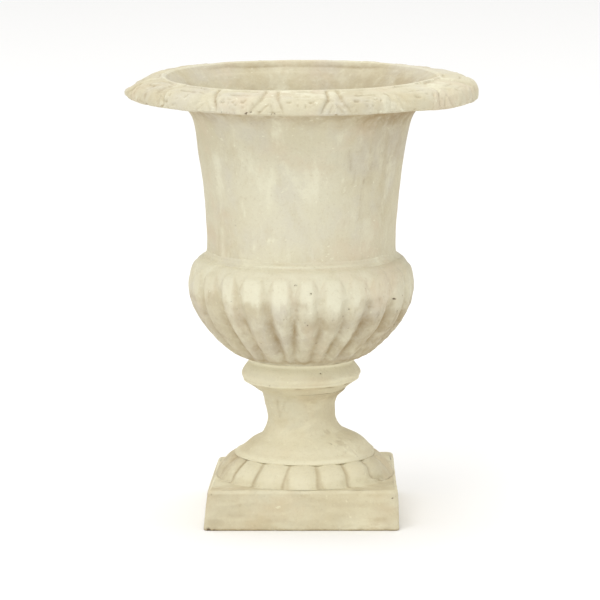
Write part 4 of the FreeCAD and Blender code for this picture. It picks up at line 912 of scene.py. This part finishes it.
def plinth():
    """The square foot with its ring of cushion blocks."""
    deck = 81.7
    # One quarter of the azimuths: a side, then a rounded corner
    reach = math.degrees(math.atan2(deck - 4.4, deck))
    quarter = np.concatenate([
        np.linspace(-reach, reach, 112, endpoint=False),
        np.linspace(reach, 90 - reach, 8, endpoint=False),
    ])
    azimuth = np.concatenate([quarter + 90 * k for k in range(4)])
    count = len(azimuth)
    def square(half, round_off=4.2):
        """Radius of a square with rounded corners at each azimuth."""
        angle = np.radians((azimuth + 45) % 90 - 45)
        straight = half / np.cos(angle)
        middle = half - round_off
        inside = np.radians(45) - np.abs(angle)
        far = middle * math.sqrt(2)
        rounded = far * np.cos(inside) + np.sqrt(np.maximum(round_off**2 - (far * np.sin(inside)) ** 2, 0))
        return np.where(np.abs(np.tan(angle)) * half > middle, rounded, straight)

    rows = []

    def row(shape, height, part):
        rows.append((np.broadcast_to(np.asarray(shape, float), (count,)), height, part))

    def square_run(start, finish, number, part, round_off=4.2):
        for t in np.arange(number) / number:
            half, height = (start[axis] + (finish[axis] - start[axis]) * t for axis in (0, 1))
            row(square(half, round_off), height, part)

    square_run((79.4, 0), (85.3, 0), 3, SOLE)
    square_run((85.3, 0), (85.45, 0.6), 1, FACE)
    square_run((85.45, 0.6), (82.0, 32.6), 22, FACE)
    for k in range(7):
        turn = math.radians(90 * (k + 0.5) / 7)
        row(square(79.5 + 2.4 * math.cos(turn)), 32.6 + 2.4 * math.sin(turn), EDGE)
    # The deck, from the square edge to the ring's toe
    for t in np.arange(8) / 8:
        row(square(79.3) * (1 - t) + 79.6 * t, 35.0, DECK)
    ring = np.concatenate([
        bowed((80.6, 34.9), (79.2, 37.0), -0.15),
        bowed((79.2, 37.0), (63.9, 52.0), 0.07),
        bowed((63.9, 52.0), (62.4, 53.0), 0.15),
    ])
    for radius, height in ring[np.linspace(0, len(ring) - 1, 34).astype(int)]:
        row(radius, height, RING)
    for k in range(1, 5):
        row(62.3 - 9.1 * k / 4, SEAT, SHELF)
    for radius, height in (
        (53.2, 56.2), (52.9, 56.5), (48.6, 56.5), (48.3, 56.2), (48.3, SEAT), (30, SEAT), (13.3, SEAT),
        (13, 53.2), (13, 47.8), (13.3, 47.5), (30, 47.5), (54.5, 47.5), (62, 39), (70.3, 29.0),
    ):
        row(radius, height, INSIDE)
    square_run((72, 29), (76.0, 29), 3, HOLLOW, 2)
    square_run((76.0, 29), (79.4, 0), 6, HOLLOW, 2)

    shapes, heights, parts = zip(*rows)
    grid = Grid([count] * len(rows), np.tile(azimuth, len(rows)), np.concatenate(shapes),
                np.repeat(np.array(heights, float), count), np.repeat(parts, count))
    z, side, spots = grid.height, grid.rightward(), grid.points()
    face, edge_round, ring_part = grid.part == FACE, grid.part == EDGE, grid.part == RING
    # Along the blocks: 0 at the brow, 1 at the toe
    down = np.clip((52.1 - z) / 15.1, 0, 1)
    slot_cut, edge, shade = (np.zeros(len(z)) for _ in range(3))
    wander = noise(spots, 9, 31) * 0.5 + noise(spots, 3.5, 32) * 0.25
    for index, (upper, lower, thin, thick) in enumerate(slots):
        line = upper + (lower - upper) * down
        if index == CROOKED_SLOT:
            line = line - 2.4 * hump(down - 0.62, 0.25) + 5.0 * smooth(down, 0.8, 1.0)
        half = 1.3 * thin + (1.15 * thick - 0.7 * thin) * down**1.1
        signed = grid.arc_from(line) + wander
        apart = np.abs(signed)
        cut = 1 - smooth(apart, half * 0.4, half + 1.7)
        if index == WIDE_SLOT:
            cut = cut - 0.4 * hump(apart, half * 0.35) * smooth(down, 0.35, 0.8)
        # The slots at the two sides are shallow and nearly filled with paint
        cut = cut * (1 - 0.65 * smooth(abs(lower), 50, 75) * (abs(lower) < 85))
        slot_cut = np.maximum(slot_cut, cut)
        shade = np.maximum(shade, hump(signed + 0.55 * half, 0.8 + 0.4 * half) * cut)
        edge = np.maximum(edge, hump(np.maximum(apart - half, 0), 4.4))
    ends = smooth(down, -0.05, 0.02)
    toe_round = smooth(z, 35.0, 38.5)
    beside = hump(np.abs(grid.azimuth) - 80, 22)
    pillow = (2.0 * edge * ends * (1 - 0.5 * beside) + 1.6 * hump(np.maximum(z - 37, 0), 3.4) * (1 - 0.7 * beside)
              + 0.8 * hump(z - 53.4, 2.0))
    sunk = 2.0 * slot_cut * ends * (0.35 + 0.65 * toe_round) + pillow * (1 - 0.6 * slot_cut) - 0.9
    lumps = 0.35 * noise(spots, 16, 33) + 0.2 * noise(spots, 6, 34) + 0.08 * noise(spots, 2.6, 35)
    grid.offset += ring_part * (lumps - sunk * smooth(z, 34.9, 36.2))
    # The blocks' normals point up and out
    grid.side[ring_part], grid.rise[ring_part] = 0.72, 0.7
    uneven = -0.3 + 0.45 * noise(spots, 26, 36) + 0.2 * noise(spots, 8, 37) + 0.1 * noise(spots, 3, 38)
    grid.offset += (face | edge_round) * uneven
    worn = edge_round | (face & (z > 29))
    grid.offset -= worn * (0.7 * smooth(noise(spots, 11, 39), 0.25, 0.7) + 0.4 * smooth(noise(spots, 5, 71), 0.1, 0.6))
    grid.offset -= 0.9 * (face & (z < 3)) * smooth(noise(spots, 7, 40), 0.2, 0.6)
    # Dirt and painted shade in the slots, with painted shade on each slot's left wall; the ring is darker at the far
    # sides and on the left
    grid.dirt += ring_part * ((0.16 * smooth(slot_cut, 0.2, 1.0) + 0.26 * shade) * ends
                              + 0.26 * smooth(np.abs(side), 0.72, 0.95) + 0.14 * smooth(-side, 0.3, 0.8))
    # A painted shadow along the foot of the faces; the left is darker, with streaky stains
    grid.dirt += face * (0.1 + 0.14 * smooth(-side, 0.2, 0.6) + 0.5 * hump(z, 1.3)
                         + 0.12 * smooth(noise(spots * [0.6, 0.6, 2.4], 11, 65), 0.05, 0.6))
    grid.dirt += (grid.part == DECK) * (0.1 + 0.16 * smooth(noise(spots, 12, 68), 0, 0.6))
    grid.dirt += 0.3 * (grid.part == SHELF) + 0.6 * (grid.part >= INSIDE)
    # Painted highlight on the front blocks and along the rounded top edge
    grid.pale += 0.6 * ring_part * (1 - slot_cut) * (1 - smooth(np.abs(side), 0.6, 0.85))
    grid.pale += edge_round * (0.25 + 0.5 * noise(spots, 9, 70))
    grid.pale += 0.25 * face * smooth(noise(spots * [0.6, 0.6, 2.2], 9, 66), 0.1, 0.6)
    add_pits(grid, spots, plinth_pits, 0.5)
    points = grid.points()
    points[:, 2] += (edge_round | (grid.part == DECK)) * (0.35 * noise(spots, 22, 41) - 0.25)
    # The foot is out of true: its left face leans in towards the back, the ring sits to the right,
    # the right face stands nearly upright, and the back edge sags to the left
    x, level = points[:, 0].copy(), points[:, 2].copy()
    back = np.clip((points[:, 1] + deck) / (2 * deck), 0, 1)
    outside = grid.part < SHELF
    lean = np.interp(level, [0, 35, 44, 53], [0, 1, 0.75, 0.2])
    upright = np.interp(level, [0, 33, 37, 46], [0, 1, 0.9, 0])
    points[:, 0] += 6.8 * (1 - (1 - back) ** 2) * np.clip(-x / deck, 0, 1) ** 1.5 * lean
    points[:, 0] += 2.7 * smooth(level, 35, 52)
    points[:, 0] += (2.6 - 1.2 * back) * np.clip(x / deck, 0, 1) ** 3 * upright * outside
    tip = smooth(back, 0.5, 1) * smooth(x, 30, 80) - smooth(back, 0.6, 1) * smooth(-x, 40, 80)
    points[:, 2] += 2.2 * tip * np.interp(level, [0, 20, 35, 42, 50], [0, 0.3, 1, 0.6, 0]) * outside
    make_piece("plinth_casting", grid, points, ["plinth"], foot_paint)


# ---------------------------------------------------------------- putty in the joint
def putty_ring():
    """Painted putty squeezed out between bowl and wall."""
    skin = [(87.2, 229.9), (85.9, 230.9), (84.7, 232.0), (83.8, 233.6), (83.2, 236.2), (82.2, 237.4)]
    outline = Outline(legs(
        (75.2, JOINT), (82.4, 230.2, 3, 512), (87.6, 228.6, 2, 512), (skin, 18, 512),
        (80.4, 235.2, 2, 512), (75.2, WALL_FOOT, 3, 512), (75.2, JOINT, 1, 512)), 0.2)
    grid = turned_grid(outline)
    z, bead = grid.height, grid.part == 2  # the bead is the skin's curve
    swell = 0.8 * grid.near(-12, 17) + 0.5 * grid.near(20, 16)
    grid.offset += bead * (1.1 * swell * hump(z - 231.9, 0.7) + 0.12 * noise(grid.points(), 9, 51))
    # Painted highlight along the bead, strongest where it swells
    grid.pale += bead * (0.2 + 1.1 * swell * hump(z - 232.1, 0.9))
    # Painted shade in the crease where the bead meets the wall
    grid.dirt += bead * 0.16 * hump(z - 234.2, 1.0)
    make_piece("putty_bead", grid, grid.points(), ["joint_putty_ring"], putty)


rim_and_wall()
bowl()
collar()
stem()
plinth()
putty_ring()

# ---------------------------------------------------------------- floor
floor_mesh = bpy.data.meshes.new("floor")
corners = [(-40, -40, -0.0003), (40, -40, -0.0003), (40, 40, -0.0003), (-40, 40, -0.0003)]
floor_mesh.from_pydata(corners, [], [(0, 1, 2, 3)])
floor = bpy.data.objects.new("floor", floor_mesh)
scene.collection.objects.link(floor)
floor_material = Nodes("pale_floor")
floor_material.shader.inputs["Base Color"].default_value = (0.97, 0.97, 0.968, 1)
floor_material.shader.inputs["Roughness"].default_value = 0.9
floor_material.shader.inputs["Specular IOR Level"].default_value = 0.1
floor_mesh.materials.append(floor_material.material)
floor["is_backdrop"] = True

low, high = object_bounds()
